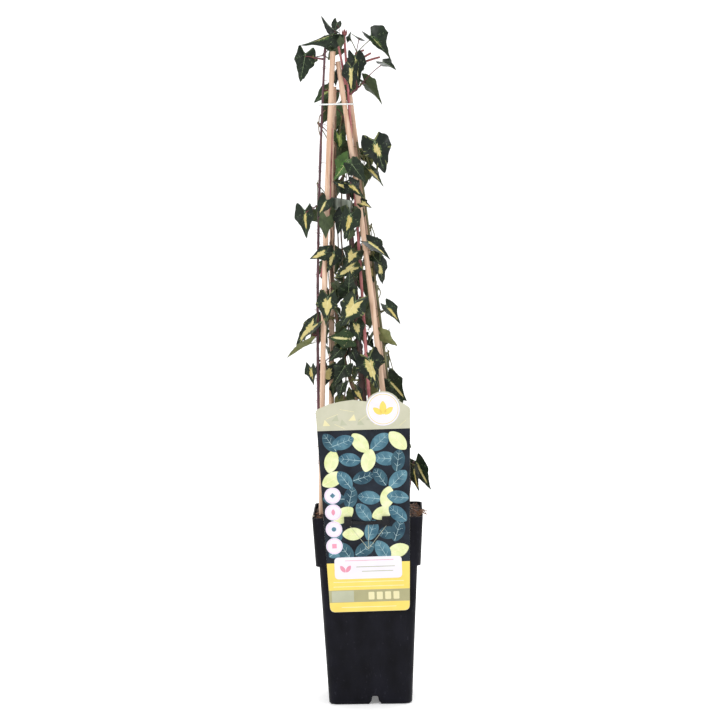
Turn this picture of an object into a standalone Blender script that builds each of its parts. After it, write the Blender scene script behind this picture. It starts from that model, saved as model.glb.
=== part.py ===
"""Goldheart ivy in its nursery pot, climbing four canes that are tied together near the top.

All sizes are in millimetres and become metres in add_object. The origin is the centre of the pot's
underside, +Z is up and -Y is the front, where the label card hangs.
"""

import math
import random
from typing import NamedTuple

import bmesh
import bpy
import numpy as np
from mathutils.bvhtree import BVHTree

MM = 0.001
GAP = 0.3
FRONT = (0, -1, 0)

# Pot: a square tapered tub with a stepped collar
POT_HEIGHT = 208.0
RIM_WIDTH = 120.0
COLLAR_FOOT_WIDTH = 114.0
BODY_TOP_WIDTH = 106.6
BASE_WIDTH = 91.0
COLLAR_HEIGHT = 54.0
BODY_HEIGHT = POT_HEIGHT - COLLAR_HEIGHT
WALL = 1.4
FLOOR = 2.0
FOOT_FILLET = 3.0
CORNER_RADIUS = 8.0
CORNER_STEPS = 3
NOTCH_HEIGHT = 9.4
NOTCH_TOP = 6.0
NOTCH_FOOT = 14.0
NOTCH_OFFSET = 5.0
NOTCH_WAIST = 0.8
NOTCH_DEPTH = 2.5
DRAIN_RADIUS = 5.0
DRAIN_PLACE = 22.0

# Potting mix, filled to the rim and slightly heaped
SOIL_EDGE = 203.5
SOIL_SHOULDER = 206.5
SOIL_TOP = 207.5
SOIL_SHOULDER_WIDTH = 104.0
SOIL_TOP_WIDTH = 74.0

# Label card, leaning on the collar's front, with a clip over the rim
CARD_FOOT_WIDTH = 86.5
CARD_WIDTH = 101.5
CARD_SHOULDER = 219.0
CARD_HEIGHT = 233.0
CARD_THICKNESS = 0.6
CARD_CORNER = 5.0
CARD_FOOT = (1.1, 104.9)
CARD_TURN = math.radians(1.0)
CARD_LEAN = math.atan((RIM_WIDTH - COLLAR_FOOT_WIDTH) / 2 / COLLAR_HEIGHT)
BUMP_PLACE = (21.6, 221.0)
BUMP_RADIUS = 20.0
CLIP_SPAN = 41.0
CLIP_BLOCK = (8.0, 2.6, 10.0)
CLIP_STRAP = (3.8, 1.6)
CLIP_SAG = 1.5
CLIP_HOOK = 1.2
SLOT_MARGIN = 0.6

# Clear tie near the cane tops, and flat band round the inner stems
TIE_HEIGHT = 653.0
TIE_RADIUS = 0.8
BAND_HEIGHT = 544.0
BAND_WIDTH = 13.0
BAND_THICKNESS = 0.5
BAND_SLACK = 0.7
BAND_TILT = -0.16

# Leaf blade: half its outline about the petiole's end, as degrees from the tip and share of the length
LEAF_OUTLINE = ((0, 1.0), (28, 0.58), (58, 0.56), (95, 0.42), (138, 0.4), (180, 0.06))
LEAF_HEART = 0.26
LEAF_THICKNESS = 0.5
LEAF_DROOP = 0.16
PETIOLE_RADIUS = 0.75
PETIOLE_SUNK = 2.0
TWIG_RADIUS = 1.1
TWIG_SHARE = 0.42
TWIG_SPINS = (0, 25, -25, 50, -50, 80, -80, 120, -120)
CLEARANCE = 0.45
NUDGES = (0, -3, 3, -6, 6, -9, 9, -12, 12, -15, 15)
BULGES = (0.12, 0.3, 0.55)
CROWN_TOP = 754.0
CROWN_FOOT = 214.0
CROWN_REACH = 86.0
CROWN_SHIFT = -22.0

# Places (x, z) where the front view looks right through between canes and stems
SEEN_GAPS = ((-22, 505), (-9, 506), (-4, 445), (-20.5, 421), (9.6, 392), (-21, 340))
GAP_MARGIN = 2.5

# Leaves of the far side: how many places each one tries, and the ranges it draws from
WILD_TRIES = 160
WILD_SPREAD = 60
WILD_REACH = (9, 32)
WILD_HEIGHT = (-30, 16)
WILD_LENGTH = (22, 31)

COLOURS = {
    "pot": (0.014, 0.014, 0.018),
    "soil": (0.022, 0.012, 0.007),
    "cane": (0.74, 0.50, 0.34),
    "bark": (0.035, 0.022, 0.018),
    "brown": (0.17, 0.12, 0.08),
    "red": (0.32, 0.06, 0.07),
    "purple": (0.14, 0.06, 0.08),
    "green": (0.05, 0.09, 0.03),
    "leaf": (0.028, 0.075, 0.035),
    "tie": (0.72, 0.72, 0.74),
    "band": (0.17, 0.20, 0.17),
    "card": (0.35, 0.45, 0.20),
    "clip": (0.012, 0.012, 0.014),
}


class Limb(NamedTuple):
    """A cane or stem along a curve from foot to head, drawn towards its bend."""

    foot: tuple
    bend: tuple
    head: tuple
    foot_radius: float
    head_radius: float
    colour: str = "cane"
    flare: float = 0.0
    sides: int = 8
    steps: int = 8


class Leaf(NamedTuple):
    """One blade: where its petiole ends, its length, and how it hangs.

    azimuth is the way the leaf looks out from the plant, 0 at the front and +90 at the right. Seen
    from there, swing is the midrib's angle from straight down (+ to the right), lean brings the tip
    outwards, turn rolls the upper face to the right, and fold lifts both sides.
    """

    at: tuple
    length: float
    swing: float
    lean: float = 10
    turn: float = 0
    fold: float = 12
    azimuth: float = 0


class Spray(NamedTuple):
    """A mass of leaves on one short stem that leaves its limb at a height."""

    limb: str
    height: float
    leaves: tuple


class Wild(NamedTuple):
    """A mass on the plant's far side, whose leaves are placed by a seeded rule."""

    limb: str
    height: float
    azimuth: float
    count: int
    seed: int


CANES = {
    "cane_front_left": Limb((-51.6, -19, 160), (-47, -15, 440), (-29.4, -8, 710), 3.1, 2.7),
    "cane_front_right": Limb((35, -20, 150), (14, -12, 430), (-24.4, -2.5, 699), 3.1, 2.7),
    "cane_back_right": Limb((41.5, 24, 120), (17, 17, 400), (-12.6, 7, 665), 3.1, 2.8),
    "cane_back_left": Limb((-42, 22, 110), (-38.5, 13, 400), (-29.3, 5, 672), 3.1, 2.8),
}

STEMS = {
    "main_stem": Limb(
        (3, -2, SOIL_TOP + 2 * GAP), (-6, -2, 384), (-16, -2, 556), 4.1, 2.3, "bark", 2.2,
    ),
    "brown_stem": Limb((-9.5, -2, 330), (-36, 6, 398), (-35.5, 1, 505), 1.9, 1.3, "brown", sides=6),
    "red_stem": Limb(
        (10, -12, SOIL_TOP + GAP), (-3.4, -5, 467), (-17, 2, 727), 2.0, 1.3, "red", 0.8, sides=6,
    ),
    "purple_stem": Limb(
        (-50.5, -8, SOIL_SHOULDER + GAP), (-57, -7, 452), (-37.4, -5, 720), 1.6, 1.3, "purple", 0.5,
        sides=6,
    ),
    "rose_stem": Limb((-47, -6.5, 466), (-36, -10, 508), (-31.8, -7, 627), 1.2, 0.9, "red", sides=6),
    "leafy_stem": Limb(
        (40, 8, SOIL_TOP), (18, 6, 410), (-5, 2, 612), 1.6, 1.1, "green", 0.5, sides=6,
    ),
    "crown_stem": Limb((-17.1, 1.3, 674), (-19.5, 0, 700), (-25.5, -1, 724), 1.3, 1.0, "red", sides=6),
    "side_shoot": Limb((44, -36, SOIL_TOP), (45, -38, 240), (51, -40, 266), 1.2, 0.9, "purple", sides=6),
}

SPRAYS = {
    "crown_left_leaves": Spray("crown_stem", 722, (
        Leaf((-25.7, -3, 731), 25, -128, lean=-10, turn=68, fold=20),
        Leaf((-29, -10, 728), 36, -66, lean=5, turn=62, fold=25),
        Leaf((-19, -7, 723), 13, -12, lean=0, turn=-140),
    )),
    "crown_right_leaves": Spray("red_stem", 700, (
        Leaf((12.4, 0, 725), 31, 46, turn=38, fold=38),
        Leaf((1, 6, 724), 15, -107, lean=-30, turn=80),
        Leaf((-11, -2, 722), 10, 178, lean=0, turn=50, fold=30),
    )),
    "crown_outer_leaf": Spray("purple_stem", 702, (
        Leaf((-59.5, -8, 707), 32, -9, lean=15, turn=20),
    )),
    "upper_right_leaves": Spray("red_stem", 664, (
        Leaf((-5.5, -8, 703), 28, 10, turn=20),
        Leaf((-9, -14, 691), 26, -7, turn=-35),
        Leaf((24.8, 4, 697.5), 18, 67, lean=30, turn=50),
        Leaf((3.9, 2, 677), 31, 45, lean=0, turn=120),
    )),
    "upper_left_leaf": Spray("purple_stem", 668, (
        Leaf((-34, 15, 669), 22, -55, lean=0, turn=-20),
    )),
    "inner_upper_leaves": Spray("red_stem", 640, (
        Leaf((-26.3, 2, 650), 26, -1, lean=0, turn=170),
        Leaf((-24.6, 0, 620), 18, 6, lean=0, turn=30),
    )),
    "shoulder_leaves": Spray("leafy_stem", 604, (
        Leaf((14, -4, 612), 36, 18, turn=10),
        Leaf((-3, 6, 600), 16, 40, lean=40, turn=20),
        Leaf((7.9, 0, 581.5), 24, 46, lean=20, turn=60),
    )),
    "upper_heart_leaves": Spray("red_stem", 585, (
        Leaf((-15, -16, 592.6), 27, -37, turn=-10),
        Leaf((-10.8, -16, 588), 25, 37, turn=10),
        Leaf((-16.7, -12, 562), 18, -117, lean=30),
        Leaf((-13.3, -18, 566.6), 22, 46, lean=20, turn=10),
    )),
    "band_side_leaf": Spray("leafy_stem", 552, (
        Leaf((-1, -2, 546), 14, 69, lean=40, turn=30),
    )),
    "waist_left_leaves": Spray("purple_stem", 546, (
        Leaf((-39.5, -22, 549), 20, -29, turn=-20),
        Leaf((-38.8, -22, 530), 22, -8, turn=-150),
        Leaf((-63, -8, 537.5), 29, 0, turn=-20),
    )),
    "waist_heart_leaves": Spray("main_stem", 526, (
        Leaf((-21.6, -14, 534), 23, -18, turn=-15),
        Leaf((-12.8, -18, 534), 28, -12, turn=20),
    )),
    "right_waist_leaves": Spray("leafy_stem", 496, (
        Leaf((6.0, 0, 502.7), 28, 57, turn=50),
        Leaf((10, -8, 488), 16, 41, lean=40),
        Leaf((16.6, -2, 479.7), 25, 13, turn=40),
        Leaf((8.8, 0, 474.3), 17, 7, turn=30),
    )),
    "left_waist_leaves": Spray("purple_stem", 497, (
        Leaf((-40.5, -23, 493.6), 21, -69, lean=35),
        Leaf((-31.9, -20, 493.3), 23, -17, lean=20, turn=15),
    )),
    "middle_heart_leaves": Spray("main_stem", 484, (
        Leaf((-10.3, -16, 492.8), 26, -31, lean=55),
        Leaf((-10.6, -16, 477.5), 27, -60, lean=30),
    )),
    "heart_leaves": Spray("main_stem", 446, (
        Leaf((-17, -13, 449), 29, 175, lean=40),
        Leaf((-9, -17, 440), 33, -32),
    )),
    "big_left_leaf": Spray("purple_stem", 446, (
        Leaf((-39.5, -24, 444.6), 30, -5, lean=5),
    )),
    "lone_right_leaf": Spray("leafy_stem", 426, (
        Leaf((24.3, 0, 432.4), 24, 42, turn=50),
    )),
    "left_wing_leaves": Spray("purple_stem", 402, (
        Leaf((-54, -12, 415.3), 31, -49, lean=0, turn=-55),
        Leaf((-60.4, -9, 393.5), 28, -67, lean=0, turn=-110),
    )),
    "low_heart_leaves": Spray("main_stem", 404, (
        Leaf((-16.4, -10, 397.8), 24, -95, turn=0),
        Leaf((-9.6, -8, 414.5), 21, 12, lean=20),
        Leaf((-26.5, -8, 386.5), 20, -46, lean=30),
    )),
    "low_olive_leaf": Spray("leafy_stem", 398, (
        Leaf((18, 2, 401.3), 23, 60, lean=20, turn=150),
    )),
    "big_right_leaf": Spray("red_stem", 372, (
        Leaf((4.2, -30, 377), 40, 17, lean=48),
    )),
    "low_right_leaf": Spray("leafy_stem", 342, (
        Leaf((25.3, 0, 351.6), 32, 38, lean=5, turn=-10),
    )),
    "low_left_leaf": Spray("purple_stem", 374, (
        Leaf((-42, 0, 366), 29, -17, lean=5, turn=10),
    )),
    "foot_heart_leaves": Spray("main_stem", 352, (
        Leaf((-22.4, -8, 368), 26, -33, lean=20),
        Leaf((-24.9, -12, 348.5), 19, -21, turn=-30),
        Leaf((-9.6, -16, 341), 14, 28, lean=20),
    )),
    "side_leaves": Spray("side_shoot", 262, (
        Leaf((54, -42, 264), 31, 24, turn=-20),
        Leaf((51.2, -46, 258), 24, 6, turn=-40),
    )),
}

WILD_SPRAYS = {
    "back_crown_leaves": Wild("purple_stem", 706, 190, 4, 3),
    "back_upper_right_leaves": Wild("red_stem", 668, 160, 4, 5),
    "back_upper_left_leaves": Wild("purple_stem", 632, 205, 4, 8),
    "back_shoulder_leaves": Wild("leafy_stem", 596, 165, 4, 11),
    "back_band_leaves": Wild("purple_stem", 566, 195, 4, 13),
    "back_waist_leaves": Wild("leafy_stem", 520, 160, 4, 17),
    "back_heart_leaves": Wild("brown_stem", 478, 190, 4, 21),
    "back_middle_leaves": Wild("leafy_stem", 452, 170, 4, 25),
    "back_left_leaves": Wild("brown_stem", 420, 205, 4, 29),
    "back_right_leaves": Wild("leafy_stem", 380, 155, 4, 31),
    "back_low_leaves": Wild("main_stem", 352, 185, 4, 37),
    "back_foot_leaves": Wild("leafy_stem", 300, 165, 3, 43),
}


def material(colour):
    """The plain material of one colour, made once."""
    found = bpy.data.materials.get(colour)
    if found:
        return found
    made = bpy.data.materials.new(colour)
    made.use_nodes = True
    shader = made.node_tree.nodes["Principled BSDF"]
    shader.inputs["Base Color"].default_value = (*COLOURS[colour], 1)
    shader.inputs["Roughness"].default_value = 0.55
    return made


def add_object(name, vertices, faces, colour, collection=None):
    """An object from a closed mesh in millimetres, with its faces turned outwards."""
    mesh = bpy.data.meshes.new(name)
    mesh.from_pydata((np.asarray(vertices) * MM).tolist(), [], faces)
    work = bmesh.new()
    work.from_mesh(mesh)
    bmesh.ops.recalc_face_normals(work, faces=work.faces)
    work.to_mesh(mesh)
    work.free()
    mesh.materials.append(material(colour))
    made = bpy.data.objects.new(name, mesh)
    (collection or bpy.context.scene.collection).objects.link(made)
    return made


def stack(rings):
    """A closed body through rings of equally many points, capped at both ends."""
    count = len(rings[0])
    faces = [tuple(range(count))]
    for level in range(len(rings) - 1):
        low = level * count
        for k in range(count):
            after = (k + 1) % count
            faces.append((low + k, low + after, low + count + after, low + count + k))
    top = (len(rings) - 1) * count
    faces.append(tuple(range(top + count - 1, top - 1, -1)))
    return np.concatenate(rings), faces


def bezier(foot, bend, head, steps):
    """Points of the quadratic curve (1-t)^2 foot + 2t(1-t) bend + t^2 head."""
    t = np.linspace(0, 1, steps + 1)[:, None]
    foot, bend, head = (np.asarray(point, float) for point in (foot, bend, head))
    return (1 - t) ** 2 * foot + 2 * t * (1 - t) * bend + t ** 2 * head


def unit(vector):
    """The vector at length 1."""
    return np.asarray(vector, float) / np.linalg.norm(vector)


def tube(points, radii, sides):
    """A capped tube of a radius for each point."""
    points = np.asarray(points, float)
    run = unit(points[-1] - points[0])
    reference = np.eye(3)[np.argmin(np.abs(run))]
    angles = 2 * math.pi * np.arange(sides) / sides
    rings = []
    for point, along, radius in zip(points, np.gradient(points, axis=0), radii):
        across = unit(np.cross(along, reference))
        over = unit(np.cross(along, across))
        rings.append(point + radius * (np.outer(np.cos(angles), across) + np.outer(np.sin(angles), over)))
    return stack(rings)


def square_ring(width, height, radius=CORNER_RADIUS):
    """A level ring round a square with rounded corners."""
    inner = width / 2 - radius
    points = []
    for corner in range(4):
        for step in range(CORNER_STEPS + 1):
            angle = math.pi / 2 * (corner + step / CORNER_STEPS)
            middle = math.pi / 2 * (corner + 0.5)
            x = math.copysign(inner, math.cos(middle)) + radius * math.cos(angle)
            y = math.copysign(inner, math.sin(middle)) + radius * math.sin(angle)
            points.append((x, y, height))
    return np.array(points)


def cut(target, *cutters):
    """Take the cutters out of the target and drop them."""
    for cutter in cutters:
        modifier = target.modifiers.new("cut", "BOOLEAN")
        modifier.operation = "DIFFERENCE"
        modifier.object = cutter
    bake(target)
    for cutter in cutters:
        bpy.data.objects.remove(cutter)


def bake(target):
    """Apply the modifiers of an object to its mesh."""
    bpy.context.view_layer.update()
    depsgraph = bpy.context.evaluated_depsgraph_get()
    mesh = bpy.data.meshes.new_from_object(target.evaluated_get(depsgraph))
    target.modifiers.clear()
    target.data = mesh


def fuse(name, bodies, colour):
    """Join closed bodies into one node by one Boolean union on a collection."""
    group = bpy.data.collections.new(name)
    bpy.context.scene.collection.children.link(group)
    joined = add_object(name, *bodies[0], colour)
    for number, body in enumerate(bodies[1:]):
        add_object(f"{name}_{number}", *body, colour, collection=group)
    union = joined.modifiers.new("union", "BOOLEAN")
    union.operation = "UNION"
    union.operand_type = "COLLECTION"
    union.collection = group
    union.solver = "MANIFOLD"
    bake(joined)
    for body in list(group.objects):
        bpy.data.objects.remove(body)
    bpy.data.collections.remove(group)
    drop_scraps(joined.data)


def drop_scraps(mesh):
    """Keep a mesh's largest connected piece and drop the loose scraps of a union."""
    work = bmesh.new()
    work.from_mesh(mesh)
    left = set(work.faces)
    pieces = []
    while left:
        piece, edge = set(), [left.pop()]
        while edge:
            face = edge.pop()
            piece.add(face)
            near = {other for side in face.edges for other in side.link_faces} & left
            left -= near
            edge += near
        pieces.append(piece)
    pieces.sort(key=len)
    scraps = [face for piece in pieces[:-1] for face in piece]
    bmesh.ops.delete(work, geom=scraps, context="FACES")
    work.to_mesh(mesh)
    work.free()


def make_pot():
    """The tub with its collar, four notches at the foot and four drain holes."""
    inner = -2 * WALL
    rings = [
        square_ring(BASE_WIDTH - 2 * FOOT_FILLET, 0, CORNER_RADIUS - FOOT_FILLET),
        square_ring(BASE_WIDTH - 0.6 * FOOT_FILLET, 0.3 * FOOT_FILLET, CORNER_RADIUS - 1),
        square_ring(BASE_WIDTH, FOOT_FILLET),
        square_ring(BODY_TOP_WIDTH, BODY_HEIGHT),
        square_ring(COLLAR_FOOT_WIDTH, BODY_HEIGHT),
        square_ring(RIM_WIDTH, POT_HEIGHT),
        square_ring(RIM_WIDTH + inner, POT_HEIGHT),
        square_ring(COLLAR_FOOT_WIDTH + inner, BODY_HEIGHT + WALL),
        square_ring(BODY_TOP_WIDTH + inner, BODY_HEIGHT + WALL),
        square_ring(BASE_WIDTH + inner, FLOOR),
    ]
    pot = add_object("pot", *stack(rings), "pot")
    profile = (
        (-NOTCH_FOOT / 2, -1),
        (NOTCH_FOOT / 2, -1),
        (NOTCH_TOP / 2 + NOTCH_WAIST, NOTCH_HEIGHT * 0.45),
        (NOTCH_TOP / 2, NOTCH_HEIGHT),
        (-NOTCH_TOP / 2, NOTCH_HEIGHT),
        (-NOTCH_TOP / 2 - NOTCH_WAIST, NOTCH_HEIGHT * 0.45),
    )
    cutters = []
    for side in range(4):
        angle = math.pi / 2 * side
        outward = np.array((math.sin(angle), -math.cos(angle), 0))
        across = np.array((math.cos(angle), math.sin(angle), 0))
        rings = []
        for depth in (BASE_WIDTH / 2 + 4, BASE_WIDTH / 2 - NOTCH_DEPTH):
            ring = [outward * depth + across * (NOTCH_OFFSET + x) + (0, 0, z) for x, z in profile]
            rings.append(np.array(ring))
        cutters.append(add_object(f"notch_{side}", *stack(rings), "pot"))
    for x, y in ((-1, -1), (1, -1), (1, 1), (-1, 1)):
        centre = np.array((x * DRAIN_PLACE, y * DRAIN_PLACE, 0))
        ends = (centre - (0, 0, 1), centre + (0, 0, FLOOR + 1))
        cutters.append(add_object("drain", *tube(ends, (DRAIN_RADIUS, DRAIN_RADIUS), 8), "pot"))
    cut(pot, *cutters)


def route(limb):
    """A limb's centre line and its radius at each point."""
    points = bezier(limb.foot, limb.bend, limb.head, limb.steps)
    share = np.linspace(0, 1, limb.steps + 1)
    radii = limb.foot_radius + (limb.head_radius - limb.foot_radius) * share
    if limb.flare:
        neck = bezier(limb.foot, limb.bend, limb.head, 4 * limb.steps)[1]
        points = np.insert(points, 1, neck, axis=0)
        radii = np.insert(radii, 1, limb.foot_radius + 0.25 * limb.flare)
        radii[0] += limb.flare
    return points, radii


def limb_at(limb, height):
    """Where a limb's centre line is at a height, and its radius there."""
    points, radii = route(limb)
    place = [np.interp(height, points[:, 2], points[:, k]) for k in range(2)]
    return np.array((*place, height)), float(np.interp(height, points[:, 2], radii))


def make_limbs():
    """The canes and stems, each one tapering tube."""
    for name, limb in {**CANES, **STEMS}.items():
        add_object(name, *tube(*route(limb), limb.sides), limb.colour)


def make_soil():
    """The potting mix inside the pot, with a hole for each cane."""
    inner = -2 * (WALL + GAP)
    lift = WALL + GAP
    rings = [
        square_ring(BASE_WIDTH + inner, FLOOR + GAP),
        square_ring(BODY_TOP_WIDTH + inner, BODY_HEIGHT + lift),
        square_ring(COLLAR_FOOT_WIDTH + inner, BODY_HEIGHT + lift),
        square_ring(RIM_WIDTH - 0.5 + inner, SOIL_EDGE),
        square_ring(SOIL_SHOULDER_WIDTH, SOIL_SHOULDER),
        square_ring(SOIL_TOP_WIDTH + 2, SOIL_TOP - GAP),
        square_ring(SOIL_TOP_WIDTH, SOIL_TOP),
    ]
    soil = add_object("potting_soil", *stack(rings), "soil")
    holes = []
    for name, limb in CANES.items():
        points, radii = route(limb)
        points, radii = points[:5], radii[:5] + GAP
        points[0] -= unit(points[1] - points[0]) * GAP
        holes.append(add_object(name + "_hole", *tube(points, radii, limb.sides), "soil"))
    cut(soil, *holes)


def hull_loop(height, limbs, radius, steps=18):
    """A loop at a height, drawn tight round the limbs at a distance from their skins."""
    centres = []
    for limb in limbs:
        place, thick = limb_at(limb, height)
        centres.append((place[:2], thick + 2 * GAP + radius))
    loop = []
    for k in range(steps):
        angle = 2 * math.pi * k / steps
        way = np.array((math.cos(angle), math.sin(angle)))
        place, reach = max(centres, key=lambda item: float(item[0] @ way) + item[1])
        loop.append(place + reach * way)
    return np.array(loop)


def ring_body(loop, section, tilt=0.0):
    """A closed band: the section's (outward, up) points carried round a level loop."""
    centre = loop.mean(axis=0)
    outward = loop - centre
    outward /= np.linalg.norm(outward, axis=1)[:, None]
    vertices = []
    for place, way in zip(loop, outward):
        for out, up in section:
            x, y = place + way * out
            vertices.append((x, y, up + tilt * (x - centre[0])))
    count = len(section)
    faces = []
    for k in range(len(loop)):
        after = (k + 1) % len(loop)
        for j in range(count):
            turn = (j + 1) % count
            faces.append((k * count + j, after * count + j, after * count + turn, k * count + turn))
    return np.array(vertices), faces


def make_ties():
    """The thin tie round the cane tops and the flat band round the inner stems."""
    limbs = {**CANES, **STEMS}
    tied = [limbs[name] for name in (*CANES, "purple_stem", "red_stem")]
    angles = [math.tau * k / 4 for k in range(4)]
    section = [(TIE_RADIUS * math.cos(a), TIE_HEIGHT + TIE_RADIUS * math.sin(a)) for a in angles]
    add_object("top_tie", *ring_body(hull_loop(TIE_HEIGHT, tied, TIE_RADIUS), section), "tie")
    held = [limbs[name] for name in ("cane_back_left", "main_stem")]
    half = BAND_WIDTH / 2
    section = [
        (BAND_SLACK, BAND_HEIGHT - half),
        (BAND_SLACK + BAND_THICKNESS, BAND_HEIGHT - half),
        (BAND_SLACK + BAND_THICKNESS, BAND_HEIGHT + half),
        (BAND_SLACK, BAND_HEIGHT + half),
    ]
    add_object("middle_band", *ring_body(hull_loop(BAND_HEIGHT, held, 0), section, BAND_TILT), "band")


def card_point(across, up, out=0.0):
    """A place on the label card, out from its back face, as a point of the whole part."""
    x = CARD_FOOT[0] + across * math.cos(CARD_TURN) - up * math.sin(CARD_TURN)
    along = across * math.sin(CARD_TURN) + up * math.cos(CARD_TURN)
    z = CARD_FOOT[1] + along * math.cos(CARD_LEAN)
    front = -RIM_WIDTH / 2 - GAP / math.cos(CARD_LEAN)
    y = front - (z - POT_HEIGHT) * math.tan(CARD_LEAN) - out * math.cos(CARD_LEAN)
    return x, y, z - out * math.sin(CARD_LEAN)


def arc(centre, radius, start, end, steps):
    """Points along an arc, angles in degrees."""
    angles = np.radians(np.linspace(start, end, steps + 1))
    return [(centre[0] + radius * math.cos(a), centre[1] + radius * math.sin(a)) for a in angles]


def card_outline():
    """The card's outline: tapered sides, round corners, an arched top and the bump round the disc."""
    foot, top = CARD_FOOT_WIDTH / 2, CARD_WIDTH / 2
    c = CARD_CORNER
    outline = arc((-foot + c, c), c, 180, 270, 3) + arc((foot - c, c), c, 270, 360, 3)
    outline += arc((top - c, CARD_SHOULDER - c), c, 0, 65, 3)
    outline += arc(BUMP_PLACE, BUMP_RADIUS, 25, 152, 8)
    for x in (-10, -24, -37):
        outline.append((x, CARD_SHOULDER + (CARD_HEIGHT - CARD_SHOULDER) * (1 - (x / top) ** 2)))
    outline += arc((-top + c, CARD_SHOULDER - c), c, 105, 180, 3)
    return outline


def card_body(outline, inner, outer):
    """A flat body between two distances out from the card's back face."""
    rings = []
    for out in (inner, outer):
        rings.append(np.array([card_point(across, up, out) for across, up in outline]))
    return stack(rings)


def clip_height(side):
    """How far up the card the clip's hook crosses the rim, at its left (-1) or right (+1) end."""
    level = POT_HEIGHT + GAP + CLIP_HOOK / 2 - CARD_FOOT[1] + 0.3
    return level / math.cos(CARD_LEAN) - side * CLIP_SPAN / 2 * math.sin(CARD_TURN)


def box_outline(centre, width, height):
    """A rectangle round a place on the card."""
    x, y = centre
    w, h = width / 2, height / 2
    return [(x - w, y - h), (x + w, y - h), (x + w, y + h), (x - w, y + h)]


def make_card():
    """The label card, with a slot for each hook of the clip."""
    card = add_object("label_card", *card_body(card_outline(), 0, CARD_THICKNESS), "card")
    slots = []
    for side in (-1, 1):
        centre = (side * CLIP_SPAN / 2, clip_height(side))
        size = (CLIP_BLOCK[0] - 1 + 2 * SLOT_MARGIN, CLIP_HOOK + 2 * SLOT_MARGIN)
        slots.append(add_object("slot", *card_body(box_outline(centre, *size), -1, 2), "card"))
    cut(card, *slots)


def make_clip():
    """The clip: a sagging strap between two blocks, each with a hook over the pot's rim."""
    front = CARD_THICKNESS + GAP
    bodies = []
    across = np.linspace(-CLIP_SPAN / 2, CLIP_SPAN / 2, 7)
    low, high = [], []
    for x in across:
        middle = clip_height(x / (CLIP_SPAN / 2)) - CLIP_BLOCK[2] / 2
        middle -= CLIP_SAG * (1 - (2 * x / CLIP_SPAN) ** 2)
        low.append((x, middle - CLIP_STRAP[0] / 2))
        high.append((x, middle + CLIP_STRAP[0] / 2))
    bodies.append(card_body(low + high[::-1], front, front + CLIP_STRAP[1]))
    for side in (-1, 1):
        x, top = side * CLIP_SPAN / 2, clip_height(side)
        block = box_outline((x, top + CLIP_HOOK / 2 - CLIP_BLOCK[2] / 2), CLIP_BLOCK[0], CLIP_BLOCK[2])
        bodies.append(card_body(block, front + 0.1, front + CLIP_BLOCK[1]))
        width = CLIP_BLOCK[0] - 1
        reach = -(WALL + 2 * GAP + CLIP_HOOK + 0.6)
        bodies.append(card_body(box_outline((x, top), width, CLIP_HOOK), reach, front + 0.8))
        leg = box_outline((x, top - 1.2), width - 0.2, CLIP_HOOK + 2)
        bodies.append(card_body(leg, reach + 0.05, reach + CLIP_HOOK))
    fuse("label_clip", bodies, "clip")


def heading(azimuth):
    """The level unit vectors out along an azimuth in degrees and to the right of it."""
    way = math.radians(azimuth)
    outward = np.array((math.sin(way), -math.cos(way), 0))
    return outward, np.array((math.cos(way), math.sin(way), 0))


def leaf_axes(leaf):
    """Unit vectors of a blade: along the midrib, across it, and out of its upper face."""
    swing, lean, turn = (math.radians(angle) for angle in (leaf.swing, leaf.lean, leaf.turn))
    outward, right = heading(leaf.azimuth)
    down = np.array((0, 0, -1.0))
    hanging = math.cos(swing) * down + math.sin(swing) * right
    tip = math.cos(lean) * hanging + math.sin(lean) * outward
    face = unit(outward - tip * (outward @ tip))
    side = np.cross(tip, face)
    up = math.cos(turn) * face - math.sin(turn) * side
    return tip, np.cross(tip, up), up


def blade(leaf, margin=0.0):
    """A leaf blade as a thin closed fan about its petiole's end."""
    tip, side, up = leaf_axes(leaf)
    half = list(LEAF_OUTLINE)
    outline = half + [(-angle, share) for angle, share in half[-2:0:-1]]
    angles = np.radians([angle for angle, _ in outline])
    reach = np.array([share for _, share in outline]) * (leaf.length + margin)
    along, across = reach * np.cos(angles), reach * np.sin(angles)
    rise = np.abs(across) * math.tan(math.radians(leaf.fold))
    rise -= LEAF_DROOP * np.maximum(along, 0) ** 2 / leaf.length
    rim = np.array(leaf.at) + np.outer(along, tip) + np.outer(across, side) + np.outer(rise, up)
    half_thick = (LEAF_THICKNESS / 2 + margin) * up
    heart = LEAF_HEART * leaf.length
    centre = np.array([leaf.at]) + heart * tip - LEAF_DROOP * LEAF_HEART * heart * up
    vertices = np.concatenate((centre + half_thick, rim + half_thick, centre - half_thick, rim - half_thick))
    count = len(rim)
    faces = []
    for k in range(count):
        here, after = 1 + k, 1 + (k + 1) % count
        low_here, low_after = here + count + 1, after + count + 1
        faces += [(0, here, after), (count + 1, low_after, low_here), (here, low_here, low_after, after)]
    return vertices, faces


def petiole_points(leaf, start, bulge, steps):
    """The petiole's curve from its twig to the blade, with its end sunk in along the midrib."""
    end = np.array(leaf.at) + leaf_axes(leaf)[0] * PETIOLE_SUNK
    middle = (start + end) / 2 + bulge
    return bezier(start, middle, end + 0.5 * unit(end - middle), steps)


def surface(body):
    """A search tree over a body's faces."""
    vertices, faces = body
    return BVHTree.FromPolygons(np.asarray(vertices).tolist(), faces)


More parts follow.
